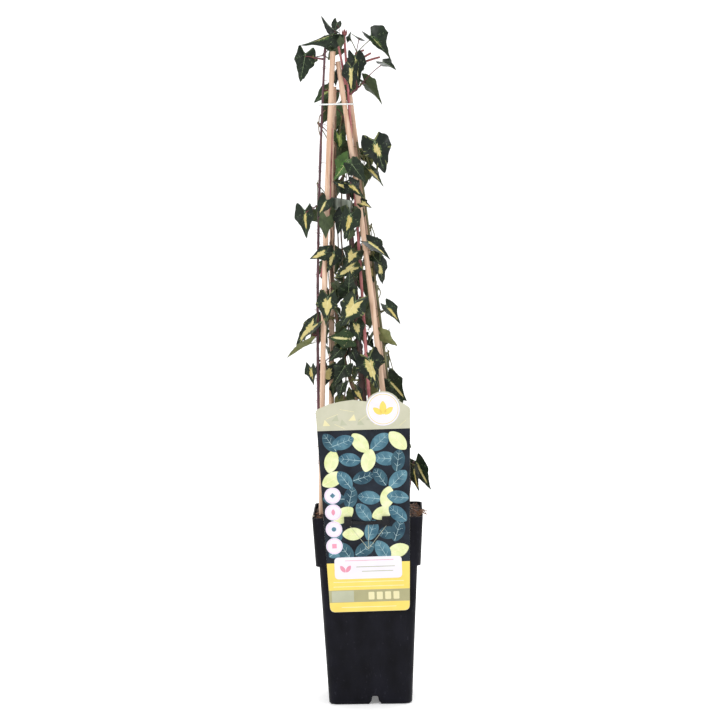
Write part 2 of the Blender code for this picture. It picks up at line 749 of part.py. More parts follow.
class Crown:
    """Everything that new twigs and leaves must stay clear of."""

    def __init__(self):
        self.trees = []

    def add(self, owner, kind, body):
        """Keep a body that later ones must not touch."""
        self.trees.append((owner, kind, surface(body)))

    def free(self, body, owner=None, passing=()):
        """Whether a body touches nothing, apart from the owner's own pieces of the passing kinds."""
        probe = surface(body)
        for other, kind, tree in self.trees:
            if other == owner and kind in passing:
                continue
            if tree.overlap(probe):
                return False
        return True

    def unseen(self, leaf):
        """Whether a blade keeps behind the front view's outline and clear of its gaps.

        All but two corners lie between the outer canes or behind something.
        """
        shown = 0
        for corner in blade(leaf)[0]:
            if not between_canes(corner):
                shown += not any(tree.ray_cast(corner.tolist(), FRONT)[0] for _, _, tree in self.trees)
        wide = surface(blade(leaf, GAP_MARGIN))
        blocked = any(wide.ray_cast((x, CROWN_REACH, z), FRONT)[0] for x, z in SEEN_GAPS)
        return shown <= 2 and not blocked


def between_canes(point):
    """Whether a point lies between the outer canes, seen from the front and below the tie."""
    left, *right = (
        limb_at(CANES[name], point[2])[0][0]
        for name in ("cane_front_left", "cane_front_right", "cane_back_right")
    )
    return point[2] < TIE_HEIGHT and left < point[0] < max(right)


def bulges(start, end):
    """Ways for a petiole to bow out on its way: up, forwards, back, left and right."""
    length = np.linalg.norm(end - start)
    ways = ((0, 0, 1), (0, -1, 0.3), (0, 1, 0.3), (-1, 0, 0.3), (1, 0, 0.3), (0, 0, -1))
    for share in BULGES:
        for way in ways:
            yield np.array(way) * share * length


def in_space(body):
    """Whether a body stays inside the crown's own space."""
    points = np.asarray(body[0])
    axis_x = np.interp(points[:, 2], (POT_HEIGHT, TIE_HEIGHT), (0, CROWN_SHIFT))
    reach = np.hypot(points[:, 0] - axis_x, points[:, 1])
    low, high = points[:, 2].min(), points[:, 2].max()
    return low > CROWN_FOOT and high < CROWN_TOP and reach.max() < CROWN_REACH


def grow_stem(crown, name, limb, height, aim):
    """The mass's own stem, from just clear of its limb towards the middle of its leaves."""
    place, thick = limb_at(limb, height)
    aside = aim - place
    level = math.degrees(math.atan2(aside[0], -aside[1]))
    reach = max(4.0, TWIG_SHARE * np.linalg.norm(aside))
    for spin in TWIG_SPINS:
        way, _ = heading(level + spin)
        start = place + way * (thick + GAP)
        first = start + way * TWIG_RADIUS * 1.6
        end = first + unit(0.5 * way + unit(aside)) * reach
        middle = (first + end) / 2 + (0, 0, 0.06 * reach)
        points = np.vstack((start, bezier(first, middle, end, 2)))
        radii = TWIG_RADIUS * np.array((1, 1, 0.95, 0.9))
        if crown.free(tube(points[1:], radii[1:] + CLEARANCE, 4)):
            body = tube(points, radii, 4)
            crown.add(name, "stem", body)
            return points, body
    raise ValueError(f"no room for the stem of {name}")


def hang_leaf(crown, name, leaf, start, nudges=NUDGES):
    """One petiole and blade on a mass's stem, moved forwards or back until both are clear."""
    outward, _ = heading(leaf.azimuth)
    for nudge in nudges:
        moved = leaf._replace(at=tuple(leaf.at + nudge * outward))
        grown = blade(moved, CLEARANCE)
        if not in_space(grown) or not crown.free(grown):
            continue
        for passing in (("stem", "petiole"), ("stem", "petiole", "blade")):
            for bulge in bulges(start, np.array(moved.at)):
                points = petiole_points(moved, start, bulge, 3)
                radii = np.full(len(points), PETIOLE_RADIUS)
                if crown.free(tube(points, radii + CLEARANCE, 3), name, passing):
                    bodies = [tube(points, radii, 3), blade(moved)]
                    crown.add(name, "petiole", bodies[0])
                    crown.add(name, "blade", bodies[1])
                    return bodies
    return []


def stem_places(stem, count):
    """Where the petioles of a mass leave its stem, the last one near the stem's end."""
    for number in range(count):
        share = 0.45 + 0.5 * (number + 1) / count
        yield stem[1] + (stem[-1] - stem[1]) * share


def wild_leaf(pick, place, azimuth):
    """A leaf drawn at random near a place on a limb, looking out along about the azimuth."""
    way = azimuth + pick.uniform(-WILD_SPREAD, WILD_SPREAD)
    outward, _ = heading(way)
    at = place + outward * pick.uniform(*WILD_REACH) + (0, 0, pick.uniform(*WILD_HEIGHT))
    return Leaf(
        tuple(at), pick.uniform(*WILD_LENGTH), pick.uniform(-38, 38), lean=pick.uniform(6, 34),
        turn=pick.uniform(-28, 28), fold=pick.uniform(8, 18), azimuth=way,
    )


def grow_wild(crown, name, wild):
    """A mass of the far side: each leaf takes the first drawn place that is clear and unseen."""
    pick = random.Random(wild.seed)
    place, _ = limb_at(STEMS[wild.limb], wild.height)
    outward, _ = heading(wild.azimuth)
    aim = place + outward * WILD_REACH[1] / 2
    stem, body = grow_stem(crown, name, STEMS[wild.limb], wild.height, aim)
    bodies = [body]
    for start in stem_places(stem, wild.count):
        for _ in range(WILD_TRIES):
            leaf = wild_leaf(pick, place, wild.azimuth)
            hung = hang_leaf(crown, name, leaf, start, (0,)) if crown.unseen(leaf) else []
            if hung:
                bodies += hung
                break
    return bodies


def grow_spray(crown, name, spray):
    """A mass of the near side, with its leaves where they are set."""
    aim = np.mean([leaf.at for leaf in spray.leaves], axis=0)
    stem, body = grow_stem(crown, name, STEMS[spray.limb], spray.height, aim)
    bodies = [body]
    for leaf, start in zip(spray.leaves, stem_places(stem, len(spray.leaves))):
        bodies += hang_leaf(crown, name, leaf, start)
    return bodies


def make_foliage():
    """Every mass: its stem, petioles and blades, fused into one node."""
    crown = Crown()
    for name, limb in {**CANES, **STEMS}.items():
        crown.add(name, "limb", tube(*route(limb), limb.sides))
    crown.add("label_card", "card", card_body(card_outline(), 0, CARD_THICKNESS))
    for name in ("top_tie", "middle_band"):
        mesh = bpy.data.objects[name].data
        vertices = np.array([vertex.co for vertex in mesh.vertices]) / MM
        crown.add(name, "tie", (vertices, [tuple(face.vertices) for face in mesh.polygons]))
    for name, spray in SPRAYS.items():
        fuse(name, grow_spray(crown, name, spray), "leaf")
    for name, wild in WILD_SPRAYS.items():
        fuse(name, grow_wild(crown, name, wild), "leaf")


def main():
    """Clear the scene and build every sub-part."""
    for old in list(bpy.data.objects):
        bpy.data.objects.remove(old)
    make_pot()
    make_soil()
    make_limbs()
    make_ties()
    make_card()
    make_clip()
    make_foliage()


if __name__ == "__main__":
    main()
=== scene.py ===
"""Goldheart ivy in its square pot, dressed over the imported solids.

All sizes are in millimetres and become metres in add_piece. The canes, stems and leaves follow the
same rule as the solids: limbs along curves, and masses whose leaves keep clear of all that is there.
"""

import math
import random
from typing import NamedTuple

import bmesh
import bpy
import numpy as np
from mathutils import Matrix
from mathutils.bvhtree import BVHTree


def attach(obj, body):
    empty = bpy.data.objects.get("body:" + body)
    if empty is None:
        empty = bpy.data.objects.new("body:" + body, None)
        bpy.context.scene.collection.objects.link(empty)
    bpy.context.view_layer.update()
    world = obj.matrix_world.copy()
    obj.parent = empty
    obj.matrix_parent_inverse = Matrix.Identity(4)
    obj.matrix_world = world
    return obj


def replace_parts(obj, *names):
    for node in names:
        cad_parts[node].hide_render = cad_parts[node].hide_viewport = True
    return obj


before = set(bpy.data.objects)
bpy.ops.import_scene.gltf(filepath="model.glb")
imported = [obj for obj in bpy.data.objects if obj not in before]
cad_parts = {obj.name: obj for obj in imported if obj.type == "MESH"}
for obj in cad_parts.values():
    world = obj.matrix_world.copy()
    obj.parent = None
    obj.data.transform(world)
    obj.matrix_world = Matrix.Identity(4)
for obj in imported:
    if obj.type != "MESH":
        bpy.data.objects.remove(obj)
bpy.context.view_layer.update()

MM = 0.001
GAP = 0.3
FRONT = (0, -1, 0)

POT_HEIGHT = 208.0
RIM_WIDTH = 120.0
COLLAR_FOOT_WIDTH = 114.0
BODY_TOP_WIDTH = 106.6
BASE_WIDTH = 91.0
COLLAR_HEIGHT = 54.0
BODY_HEIGHT = POT_HEIGHT - COLLAR_HEIGHT
WALL = 1.4
FLOOR = 2.0
CORNER_RADIUS = 8.0
NOTCH_HEIGHT = 9.4
NOTCH_TOP = 6.0
NOTCH_FOOT = 14.0
NOTCH_OFFSET = 5.0
NOTCH_DEPTH = 2.5
DRAIN_RADIUS = 5.0
DRAIN_PLACE = 22.0
SOIL_EDGE = 203.5
SOIL_SHOULDER = 206.5
SOIL_TOP = 207.5
SOIL_SHOULDER_WIDTH = 104.0
SOIL_TOP_WIDTH = 74.0
CARD_FOOT_WIDTH = 86.5
CARD_WIDTH = 101.5
CARD_SHOULDER = 219.0
PLATE_SHOULDER = 224.5
CARD_HEIGHT = 233.0
CARD_THICKNESS = 0.6
CARD_CORNER = 5.0
CARD_FOOT = (1.1, 104.9)
CARD_TURN = math.radians(1.0)
CARD_LEAN = math.atan((RIM_WIDTH - COLLAR_FOOT_WIDTH) / 2 / COLLAR_HEIGHT)
BUMP_PLACE = (21.6, 221.0)
BUMP_RADIUS = 20.0
TIE_HEIGHT = 653.0
TIE_RADIUS = 0.8
BAND_HEIGHT = 544.0
BAND_WIDTH = 13.0
BAND_THICKNESS = 0.5
BAND_SLACK = 0.7
BAND_TILT = -0.16
LEAF_OUTLINE = ((0, 1.0), (28, 0.58), (58, 0.56), (95, 0.42), (138, 0.4), (180, 0.06))
LEAF_HEART = 0.26
LEAF_THICKNESS = 0.5
LEAF_DROOP = 0.16
PETIOLE_RADIUS = 0.75
PETIOLE_SUNK = 2.0
TWIG_RADIUS = 1.1
TWIG_SHARE = 0.42
TWIG_SPINS = (0, 25, -25, 50, -50, 80, -80, 120, -120)
CLEARANCE = 0.45
NUDGES = (0, -3, 3, -6, 6, -9, 9, -12, 12, -15, 15)
BULGES = (0.12, 0.3, 0.55)
CROWN_TOP = 754.0
CROWN_FOOT = 214.0
CROWN_REACH = 86.0
CROWN_SHIFT = -22.0
SEEN_GAPS = ((-22, 505), (-9, 506), (-4, 445), (-20.5, 421), (9.6, 392), (-21, 340))
GAP_MARGIN = 2.5
WILD_TRIES = 160
WILD_SPREAD = 60
WILD_REACH = (9, 32)
WILD_HEIGHT = (-30, 16)
WILD_LENGTH = (22, 31)

FOOT_FILLET = 3.0
FOOT_RING = 1.2
HOLLOW_HEIGHT = 10.4
TUB_FLOOR = 12.0
NOTCH_WAIST = 0.8
RING_POINTS = 200
SKIN = 0.35
EDGE_STEPS = 10
EDGE_WAVE = 0.085
EDGE_NARROW = (0.78, 0.96)
YOUNG_COUNT = 5
YOUNG_TRIES = 40
YOUNG_LENGTH = (9, 19)
WISPS = (
    ((-37, 2, 448), (-34, -1, 560), (-33, -3, 648), 0.8),
    ((-33, 4, 492), (-28, 6, 600), (-31, 4, 662), 0.7),
    ((-26, 5, 470), (-31, 8, 560), (-27, 2, 640), 0.75),
    ((-20, 6, 420), (-27, 7, 500), (-21, 4, 580), 0.9),
    ((-14, 4, 360), (-22, 8, 420), (-16, 5, 490), 0.8),
    ((-24, 7, 330), (-17, 9, 380), (-25, 6, 430), 0.8),
)
TENDRIL = ((-39, -5, 647), (-45.5, -7, 640), (-46.5, -6, 626), (-43, -7, 612), (-46, -6, 600))
STUBS = (
    ((-5.5, 1, 706.3), (4.1, 1, 711), 1.1),
    ((-3, 1, 699), (11.6, 0, 707.6), 1.1),
    ((2, 1, 697.5), (21.3, -1, 703.1), 1.1),
)


class Limb(NamedTuple):
    """A cane or stem along a curve from foot to head, drawn towards its bend."""

    foot: tuple
    bend: tuple
    head: tuple
    foot_radius: float
    head_radius: float
    colour: str = "cane"
    flare: float = 0.0
    sides: int = 8
    steps: int = 8


class Leaf(NamedTuple):
    """One blade: where its petiole ends, its length, and how it hangs.

    azimuth is the way the leaf looks out from the plant, 0 at the front and +90 at the right. Seen
    from there, swing is the midrib's angle from straight down (+ to the right), lean brings the tip
    outwards, turn rolls the upper face to the right, and fold lifts both sides.
    """

    at: tuple
    length: float
    swing: float
    lean: float = 10
    turn: float = 0
    fold: float = 12
    azimuth: float = 0
    look: str = "strip"


class Spray(NamedTuple):
    """A mass of leaves on one short stem that leaves its limb at a height."""

    limb: str
    height: float
    leaves: tuple


class Wild(NamedTuple):
    """A mass on the plant's far side, whose leaves are placed by a seeded rule."""

    limb: str
    height: float
    azimuth: float
    count: int
    seed: int


class Mass(NamedTuple):
    """A grown mass: its limb, its stem's points, and each leaf with its petiole's start and bulge."""

    name: str
    limb: str
    stem: np.ndarray
    leaves: list


class Look(NamedTuple):
    """A blade's colouring: its gold zone's half width and furthest share, how jagged and lopsided it
    is, and the tints to pick from for its gold, middle and edge zones, its underside and its veins."""

    width: float = 0.0
    cap: float = 0.0
    jag: float = 0.25
    bias: float = 0.0
    gold: tuple = ("gold", "gold", "deep_gold")
    middle: tuple = ("mid",)
    edge: tuple = ("dark", "darker", "dark")
    under: str = "under"
    veins: str = "vein"


YOUNG_LEADS = (
    ("crown_left_leaves", Leaf((-24.8, 6, 740.7), 14, -20, lean=15, fold=20, look="dark")),
    ("upper_left_leaf", Leaf((-28.4, 14, 688), 15, 4, lean=0, fold=12, look="dark")),
    ("upper_heart_leaves", Leaf((-12.7, 5, 558.5), 11, 10, lean=15, fold=20, look="dark")),
    ("heart_leaves", Leaf((-27.8, 5, 446.6), 14, -15, lean=15, fold=20, look="dark")),
    ("heart_leaves", Leaf((-7.8, 5, 463.3), 14, 15, lean=15, fold=20, look="dark")),
    ("low_heart_leaves", Leaf((-3.4, 5, 402.8), 14, 10, lean=15, fold=20, look="dark")),
    ("low_heart_leaves", Leaf((3.1, 5, 393.9), 12, 35, lean=15, fold=20, look="dark")),
    ("foot_heart_leaves", Leaf((-13.6, 5, 382.1), 14, 20, lean=15, fold=20, look="dark")),
    ("foot_heart_leaves", Leaf((-20.2, 5, 384.4), 12, -25, lean=15, fold=20, look="dark")),
    ("foot_heart_leaves", Leaf((-35.2, 5, 343.8), 12, -10, lean=15, fold=20, look="dark")),
    ("low_left_leaf", Leaf((-59.5, 4, 366), 20, 2, lean=0, turn=-30, fold=12, look="heart")),
)
YOUNG_DEPTHS = (0, 3, -3, 6, -6, 9, -9, 12, -12)

LOOKS = {
    "gold": Look(0.19, 0.58, 0.34, under="under_gold"),
    "heart": Look(0.1, 0.5, 0.42, 0.2, under="under_gold"),
    "strip": Look(0.055, 0.6, 0.4, -0.2),
    "dark": Look(),
    "green": Look(0.1, 0.4, 0.4, 0.3, gold=("light",), middle=("fresh",), edge=("green",)),
    "olive": Look(0.08, 0.35, 0.4, 0.2, gold=("fresh",), middle=("green",), edge=("dark", "green")),
    "bright": Look(0.14, 0.6, 0.4, gold=("bright",), middle=("fresh",), edge=("fresh",)),
    "backed": Look(under="under_green"),
    "wing": Look(0.2, 0.7, 0.3, gold=("under_gold",), middle=("under",), edge=("under",), under="under_gold"),
    "veined": Look(0.05, 0.5, 0.4, gold=("pale_gold",), middle=("fresh",), edge=("green",), veins="gold_vein"),
    "pale": Look(0.18, 0.55, 0.3, gold=("light", "pale_gold"), middle=("fresh",), edge=("green",), under="under_gold"),
}
WILD_LOOKS = ("dark", "strip", "heart", "green", "dark", "gold", "strip", "olive")

LEAF_TONES = {
    "gold": ((202, 189, 130), (184, 170, 108), 0.42),
    "deep_gold": ((192, 174, 106), (172, 153, 84), 0.42),
    "pale_gold": ((208, 202, 150), (190, 184, 126), 0.42),
    "light": ((132, 150, 76), (110, 130, 62), 0.42),
    "fresh": ((66, 92, 44), (52, 76, 36), 0.4),
    "green": ((44, 64, 32), (34, 50, 27), 0.38),
    "mid": ((74, 90, 50), (56, 72, 40), 0.4),
    "dark": ((33, 45, 30), (20, 29, 20), 0.36),
    "darker": ((25, 35, 25), (15, 22, 17), 0.34),
    "under": ((70, 82, 54), (54, 64, 42), 0.55),
    "under_gold": ((116, 118, 76), (96, 102, 62), 0.55),
    "vein": ((122, 140, 102), (100, 118, 84), 0.45),
    "gold_vein": ((213, 204, 154), (196, 186, 132), 0.42),
    "bright": ((78, 118, 52), (60, 96, 42), 0.4),
    "under_green": ((88, 112, 74), (70, 94, 60), 0.5),
    "twig_red": ((112, 60, 64), (80, 44, 50), 0.45),
    "twig_green": ((104, 104, 60), (80, 76, 48), 0.45),
}

CANES = {
    "cane_front_left": Limb((-51.6, -19, 160), (-47, -15, 440), (-29.4, -8, 710), 3.1, 2.7),
    "cane_front_right": Limb((35, -20, 150), (14, -12, 430), (-24.4, -2.5, 699), 3.1, 2.7),
    "cane_back_right": Limb((41.5, 24, 120), (17, 17, 400), (-12.6, 7, 665), 3.1, 2.8),
    "cane_back_left": Limb((-42, 22, 110), (-38.5, 13, 400), (-29.3, 5, 672), 3.1, 2.8),
}

STEMS = {
    "main_stem": Limb(
        (3, -2, SOIL_TOP + 2 * GAP), (-6, -2, 384), (-16, -2, 556), 4.1, 2.3, "bark", 2.2,
    ),
    "brown_stem": Limb((-9.5, -2, 330), (-36, 6, 398), (-35.5, 1, 505), 1.9, 1.3, "brown", sides=6),
    "red_stem": Limb(
        (10, -12, SOIL_TOP + GAP), (-3.4, -5, 467), (-17, 2, 727), 2.0, 1.3, "red", 0.8, sides=6,
    ),
    "purple_stem": Limb(
        (-50.5, -8, SOIL_SHOULDER + GAP), (-57, -7, 452), (-37.4, -5, 720), 1.6, 1.3, "purple", 0.5,
        sides=6,
    ),
    "rose_stem": Limb((-47, -6.5, 466), (-36, -10, 508), (-31.8, -7, 627), 1.2, 0.9, "red", sides=6),
    "leafy_stem": Limb(
        (40, 8, SOIL_TOP), (18, 6, 410), (-5, 2, 612), 1.6, 1.1, "green", 0.5, sides=6,
    ),
    "crown_stem": Limb((-17.1, 1.3, 674), (-19.5, 0, 700), (-25.5, -1, 724), 1.3, 1.0, "red", sides=6),
    "side_shoot": Limb((44, -36, SOIL_TOP), (45, -38, 240), (51, -40, 266), 1.2, 0.9, "purple", sides=6),
}

SPRAYS = {
    "crown_left_leaves": Spray("crown_stem", 722, (
        Leaf((-25.7, -3, 731), 25, -128, lean=-10, turn=68, fold=20, look="dark"),
        Leaf((-29, -10, 728), 36, -66, lean=5, turn=62, fold=25, look="olive"),
        Leaf((-19, -7, 723), 13, -12, lean=0, turn=-140, look="olive"),
    )),
    "crown_right_leaves": Spray("red_stem", 700, (
        Leaf((12.4, 0, 725), 31, 46, turn=38, fold=38, look="olive"),
        Leaf((1, 6, 724), 15, -107, lean=-30, turn=80, look="dark"),
        Leaf((-11, -2, 722), 10, 178, lean=0, turn=50, fold=30, look="dark"),
    )),
    "crown_outer_leaf": Spray("purple_stem", 702, (
        Leaf((-59.5, -8, 707), 32, -9, lean=15, turn=20, look="dark"),
    )),
    "upper_right_leaves": Spray("red_stem", 664, (
        Leaf((-5.5, -8, 703), 28, 10, turn=20, look="strip"),
        Leaf((-9, -14, 691), 26, -7, turn=-35, look="heart"),
        Leaf((24.8, 4, 697.5), 18, 67, lean=30, turn=50, look="dark"),
        Leaf((3.9, 2, 677), 31, 45, lean=0, turn=120, look="olive"),
    )),
    "upper_left_leaf": Spray("purple_stem", 668, (
        Leaf((-34, 15, 669), 22, -55, lean=0, turn=-20, look="green"),
    )),
    "inner_upper_leaves": Spray("red_stem", 640, (
        Leaf((-26.3, 2, 650), 26, -1, lean=0, turn=170, look="backed"),
        Leaf((-24.6, 0, 620), 18, 6, lean=0, turn=30, look="pale"),
    )),
    "shoulder_leaves": Spray("leafy_stem", 604, (
        Leaf((14, -4, 612), 36, 18, turn=10, look="heart"),
        Leaf((-3, 6, 600), 16, 40, lean=40, turn=20, look="olive"),
        Leaf((7.9, 0, 581.5), 24, 46, lean=20, turn=60, look="heart"),
    )),
    "upper_heart_leaves": Spray("red_stem", 585, (
        Leaf((-15, -16, 592.6), 27, -37, turn=-10, look="bright"),
        Leaf((-10.8, -16, 588), 25, 37, turn=10, look="dark"),
        Leaf((-16.7, -12, 562), 18, -117, lean=30, look="heart"),
        Leaf((-13.3, -18, 566.6), 22, 46, lean=20, turn=10, look="heart"),
    )),
    "band_side_leaf": Spray("leafy_stem", 552, (
        Leaf((-1, -2, 546), 14, 69, lean=40, turn=30, look="gold"),
    )),
    "waist_left_leaves": Spray("purple_stem", 546, (
        Leaf((-39.5, -22, 549), 20, -29, turn=-20, look="strip"),
        Leaf((-38.8, -22, 530), 22, -8, turn=-150, look="green"),
        Leaf((-63, -8, 537.5), 29, 0, turn=-20, look="strip"),
    )),
    "waist_heart_leaves": Spray("main_stem", 526, (
        Leaf((-21.6, -14, 534), 23, -18, turn=-15, look="dark"),
        Leaf((-12.8, -18, 534), 28, -12, turn=20, look="heart"),
    )),
    "right_waist_leaves": Spray("leafy_stem", 496, (
        Leaf((6.0, 0, 502.7), 28, 57, turn=50, look="strip"),
        Leaf((10, -8, 488), 16, 41, lean=40, look="dark"),
        Leaf((16.6, -2, 479.7), 25, 13, turn=40, look="heart"),
        Leaf((8.8, 0, 474.3), 17, 7, turn=30, look="heart"),
    )),
    "left_waist_leaves": Spray("purple_stem", 497, (
        Leaf((-40.5, -23, 493.6), 21, -69, lean=35, look="heart"),
        Leaf((-31.9, -20, 493.3), 23, -17, lean=20, turn=15, look="heart"),
    )),
    "middle_heart_leaves": Spray("main_stem", 484, (
        Leaf((-10.3, -16, 492.8), 26, -31, lean=55, look="gold"),
        Leaf((-10.6, -16, 477.5), 27, -60, lean=30, look="gold"),
    )),
    "heart_leaves": Spray("main_stem", 446, (
        Leaf((-17, -13, 449), 29, 175, lean=40, look="dark"),
        Leaf((-9, -17, 440), 33, -32, look="gold"),
    )),
    "big_left_leaf": Spray("purple_stem", 446, (
        Leaf((-39.5, -24, 444.6), 30, -5, lean=5, look="gold"),
    )),
    "lone_right_leaf": Spray("leafy_stem", 426, (
        Leaf((24.3, 0, 432.4), 24, 42, turn=50, look="heart"),
    )),
    "left_wing_leaves": Spray("purple_stem", 402, (
        Leaf((-54, -12, 415.3), 31, -49, lean=0, turn=-55, look="gold"),
        Leaf((-60.4, -9, 393.5), 28, -67, lean=0, turn=-110, look="wing"),
    )),
    "low_heart_leaves": Spray("main_stem", 404, (
        Leaf((-16.4, -10, 397.8), 24, -95, turn=0, look="veined"),
        Leaf((-9.6, -8, 414.5), 21, 12, lean=20, look="gold"),
        Leaf((-26.5, -8, 386.5), 20, -46, lean=30, look="dark"),
    )),
    "low_olive_leaf": Spray("leafy_stem", 398, (
        Leaf((18, 2, 401.3), 23, 60, lean=20, turn=150, look="wing"),
    )),
    "big_right_leaf": Spray("red_stem", 372, (
        Leaf((4.2, -30, 377), 40, 17, lean=48, look="heart"),
    )),
    "low_right_leaf": Spray("leafy_stem", 342, (
        Leaf((25.3, 0, 351.6), 32, 38, lean=5, turn=-10, look="strip"),
    )),
    "low_left_leaf": Spray("purple_stem", 374, (
        Leaf((-42, 0, 366), 29, -17, lean=5, turn=10, look="gold"),
    )),
    "foot_heart_leaves": Spray("main_stem", 352, (
        Leaf((-22.4, -8, 368), 26, -33, lean=20, look="dark"),
        Leaf((-24.9, -12, 348.5), 19, -21, turn=-30, look="dark"),
        Leaf((-9.6, -16, 341), 14, 28, lean=20, look="gold"),
    )),
    "side_leaves": Spray("side_shoot", 262, (
        Leaf((54, -42, 264), 31, 24, turn=-20, look="strip"),
        Leaf((51.2, -46, 258), 24, 6, turn=-40, look="strip"),
    )),
}

WILD_SPRAYS = {
    "back_crown_leaves": Wild("purple_stem", 706, 190, 4, 3),
    "back_upper_right_leaves": Wild("red_stem", 668, 160, 4, 5),
    "back_upper_left_leaves": Wild("purple_stem", 632, 205, 4, 8),
    "back_shoulder_leaves": Wild("leafy_stem", 596, 165, 4, 11),
    "back_band_leaves": Wild("purple_stem", 566, 195, 4, 13),
    "back_waist_leaves": Wild("leafy_stem", 520, 160, 4, 17),
    "back_heart_leaves": Wild("brown_stem", 478, 190, 4, 21),
    "back_middle_leaves": Wild("leafy_stem", 452, 170, 4, 25),
    "back_left_leaves": Wild("brown_stem", 420, 205, 4, 29),
    "back_right_leaves": Wild("leafy_stem", 380, 155, 4, 31),
    "back_low_leaves": Wild("main_stem", 352, 185, 4, 37),
    "back_foot_leaves": Wild("leafy_stem", 300, 165, 3, 43),
}


def stack(rings):
    """A closed body through rings of equally many points, capped at both ends."""
    count = len(rings[0])
    faces = [tuple(range(count))]
    for level in range(len(rings) - 1):
        low = level * count
        for k in range(count):
            after = (k + 1) % count
            faces.append((low + k, low + after, low + count + after, low + count + k))
    top = (len(rings) - 1) * count
    faces.append(tuple(range(top + count - 1, top - 1, -1)))
    return np.concatenate(rings), faces


def bezier(foot, bend, head, steps):
    """Points of the quadratic curve (1-t)^2 foot + 2t(1-t) bend + t^2 head."""
    t = np.linspace(0, 1, steps + 1)[:, None]
    foot, bend, head = (np.asarray(point, float) for point in (foot, bend, head))
    return (1 - t) ** 2 * foot + 2 * t * (1 - t) * bend + t ** 2 * head


def unit(vector):
    """The vector at length 1."""
    return np.asarray(vector, float) / np.linalg.norm(vector)


def tube(points, radii, sides):
    """A capped tube of a radius for each point."""
    points = np.asarray(points, float)
    run = unit(points[-1] - points[0])
    reference = np.eye(3)[np.argmin(np.abs(run))]
    angles = 2 * math.pi * np.arange(sides) / sides
    rings = []
    for point, along, radius in zip(points, np.gradient(points, axis=0), radii):
        across = unit(np.cross(along, reference))
        over = unit(np.cross(along, across))
        rings.append(point + radius * (np.outer(np.cos(angles), across) + np.outer(np.sin(angles), over)))
    return stack(rings)


def route(limb):
    """A limb's centre line and its radius at each point."""
    points = bezier(limb.foot, limb.bend, limb.head, limb.steps)
    share = np.linspace(0, 1, limb.steps + 1)
    radii = limb.foot_radius + (limb.head_radius - limb.foot_radius) * share
    if limb.flare:
        neck = bezier(limb.foot, limb.bend, limb.head, 4 * limb.steps)[1]
        points = np.insert(points, 1, neck, axis=0)
        radii = np.insert(radii, 1, limb.foot_radius + 0.25 * limb.flare)
        radii[0] += limb.flare
    return points, radii


def limb_at(limb, height):
    """Where a limb's centre line is at a height, and its radius there."""
    points, radii = route(limb)
    place = [np.interp(height, points[:, 2], points[:, k]) for k in range(2)]
    return np.array((*place, height)), float(np.interp(height, points[:, 2], radii))


def hull_loop(height, limbs, radius, steps=18):
    """A loop at a height, drawn tight round the limbs at a distance from their skins."""
    centres = []
    for limb in limbs:
        place, thick = limb_at(limb, height)
        centres.append((place[:2], thick + 2 * GAP + radius))
    loop = []
    for k in range(steps):
        angle = 2 * math.pi * k / steps
        way = np.array((math.cos(angle), math.sin(angle)))
        place, reach = max(centres, key=lambda item: float(item[0] @ way) + item[1])
        loop.append(place + reach * way)
    return np.array(loop)


def ring_body(loop, section, tilt=0.0):
    """A closed band: the section's (outward, up) points carried round a level loop."""
    centre = loop.mean(axis=0)
    outward = loop - centre
    outward /= np.linalg.norm(outward, axis=1)[:, None]
    vertices = []
    for place, way in zip(loop, outward):
        for out, up in section:
            x, y = place + way * out
            vertices.append((x, y, up + tilt * (x - centre[0])))
    count = len(section)
    faces = []
    for k in range(len(loop)):
        after = (k + 1) % len(loop)
        for j in range(count):
            turn = (j + 1) % count
            faces.append((k * count + j, after * count + j, after * count + turn, k * count + turn))
    return np.array(vertices), faces


def card_point(across, up, out=0.0):
    """A place on the label card, out from its back face, as a point of the whole part."""
    x = CARD_FOOT[0] + across * math.cos(CARD_TURN) - up * math.sin(CARD_TURN)
    along = across * math.sin(CARD_TURN) + up * math.cos(CARD_TURN)
    z = CARD_FOOT[1] + along * math.cos(CARD_LEAN)
    front = -RIM_WIDTH / 2 - GAP / math.cos(CARD_LEAN)
    y = front - (z - POT_HEIGHT) * math.tan(CARD_LEAN) - out * math.cos(CARD_LEAN)
    return x, y, z - out * math.sin(CARD_LEAN)


def arc(centre, radius, start, end, steps):
    """Points along an arc, angles in degrees."""
    angles = np.radians(np.linspace(start, end, steps + 1))
    return [(centre[0] + radius * math.cos(a), centre[1] + radius * math.sin(a)) for a in angles]


def card_outline(shoulder=CARD_SHOULDER):
    """The card's outline: tapered sides, round corners, an arched top and the bump round the disc."""
    foot, top = CARD_FOOT_WIDTH / 2, CARD_WIDTH / 2
    c = CARD_CORNER
    outline = arc((-foot + c, c), c, 180, 270, 3) + arc((foot - c, c), c, 270, 360, 3)
    outline += arc((top - c, shoulder - c), c, 0, 65, 3)
    outline += arc(BUMP_PLACE, BUMP_RADIUS, 25, 152, 8)
    for x in (-10, -24, -37):
        outline.append((x, shoulder + (CARD_HEIGHT - shoulder) * (1 - (x / top) ** 2)))
    outline += arc((-top + c, shoulder - c), c, 105, 180, 3)
    return outline


def card_body(outline, inner, outer):
    """A flat body between two distances out from the card's back face."""
    rings = []
    for out in (inner, outer):
        rings.append(np.array([card_point(across, up, out) for across, up in outline]))
    return stack(rings)


def heading(azimuth):
    """The level unit vectors out along an azimuth in degrees and to the right of it."""
    way = math.radians(azimuth)
    outward = np.array((math.sin(way), -math.cos(way), 0))
    return outward, np.array((math.cos(way), math.sin(way), 0))


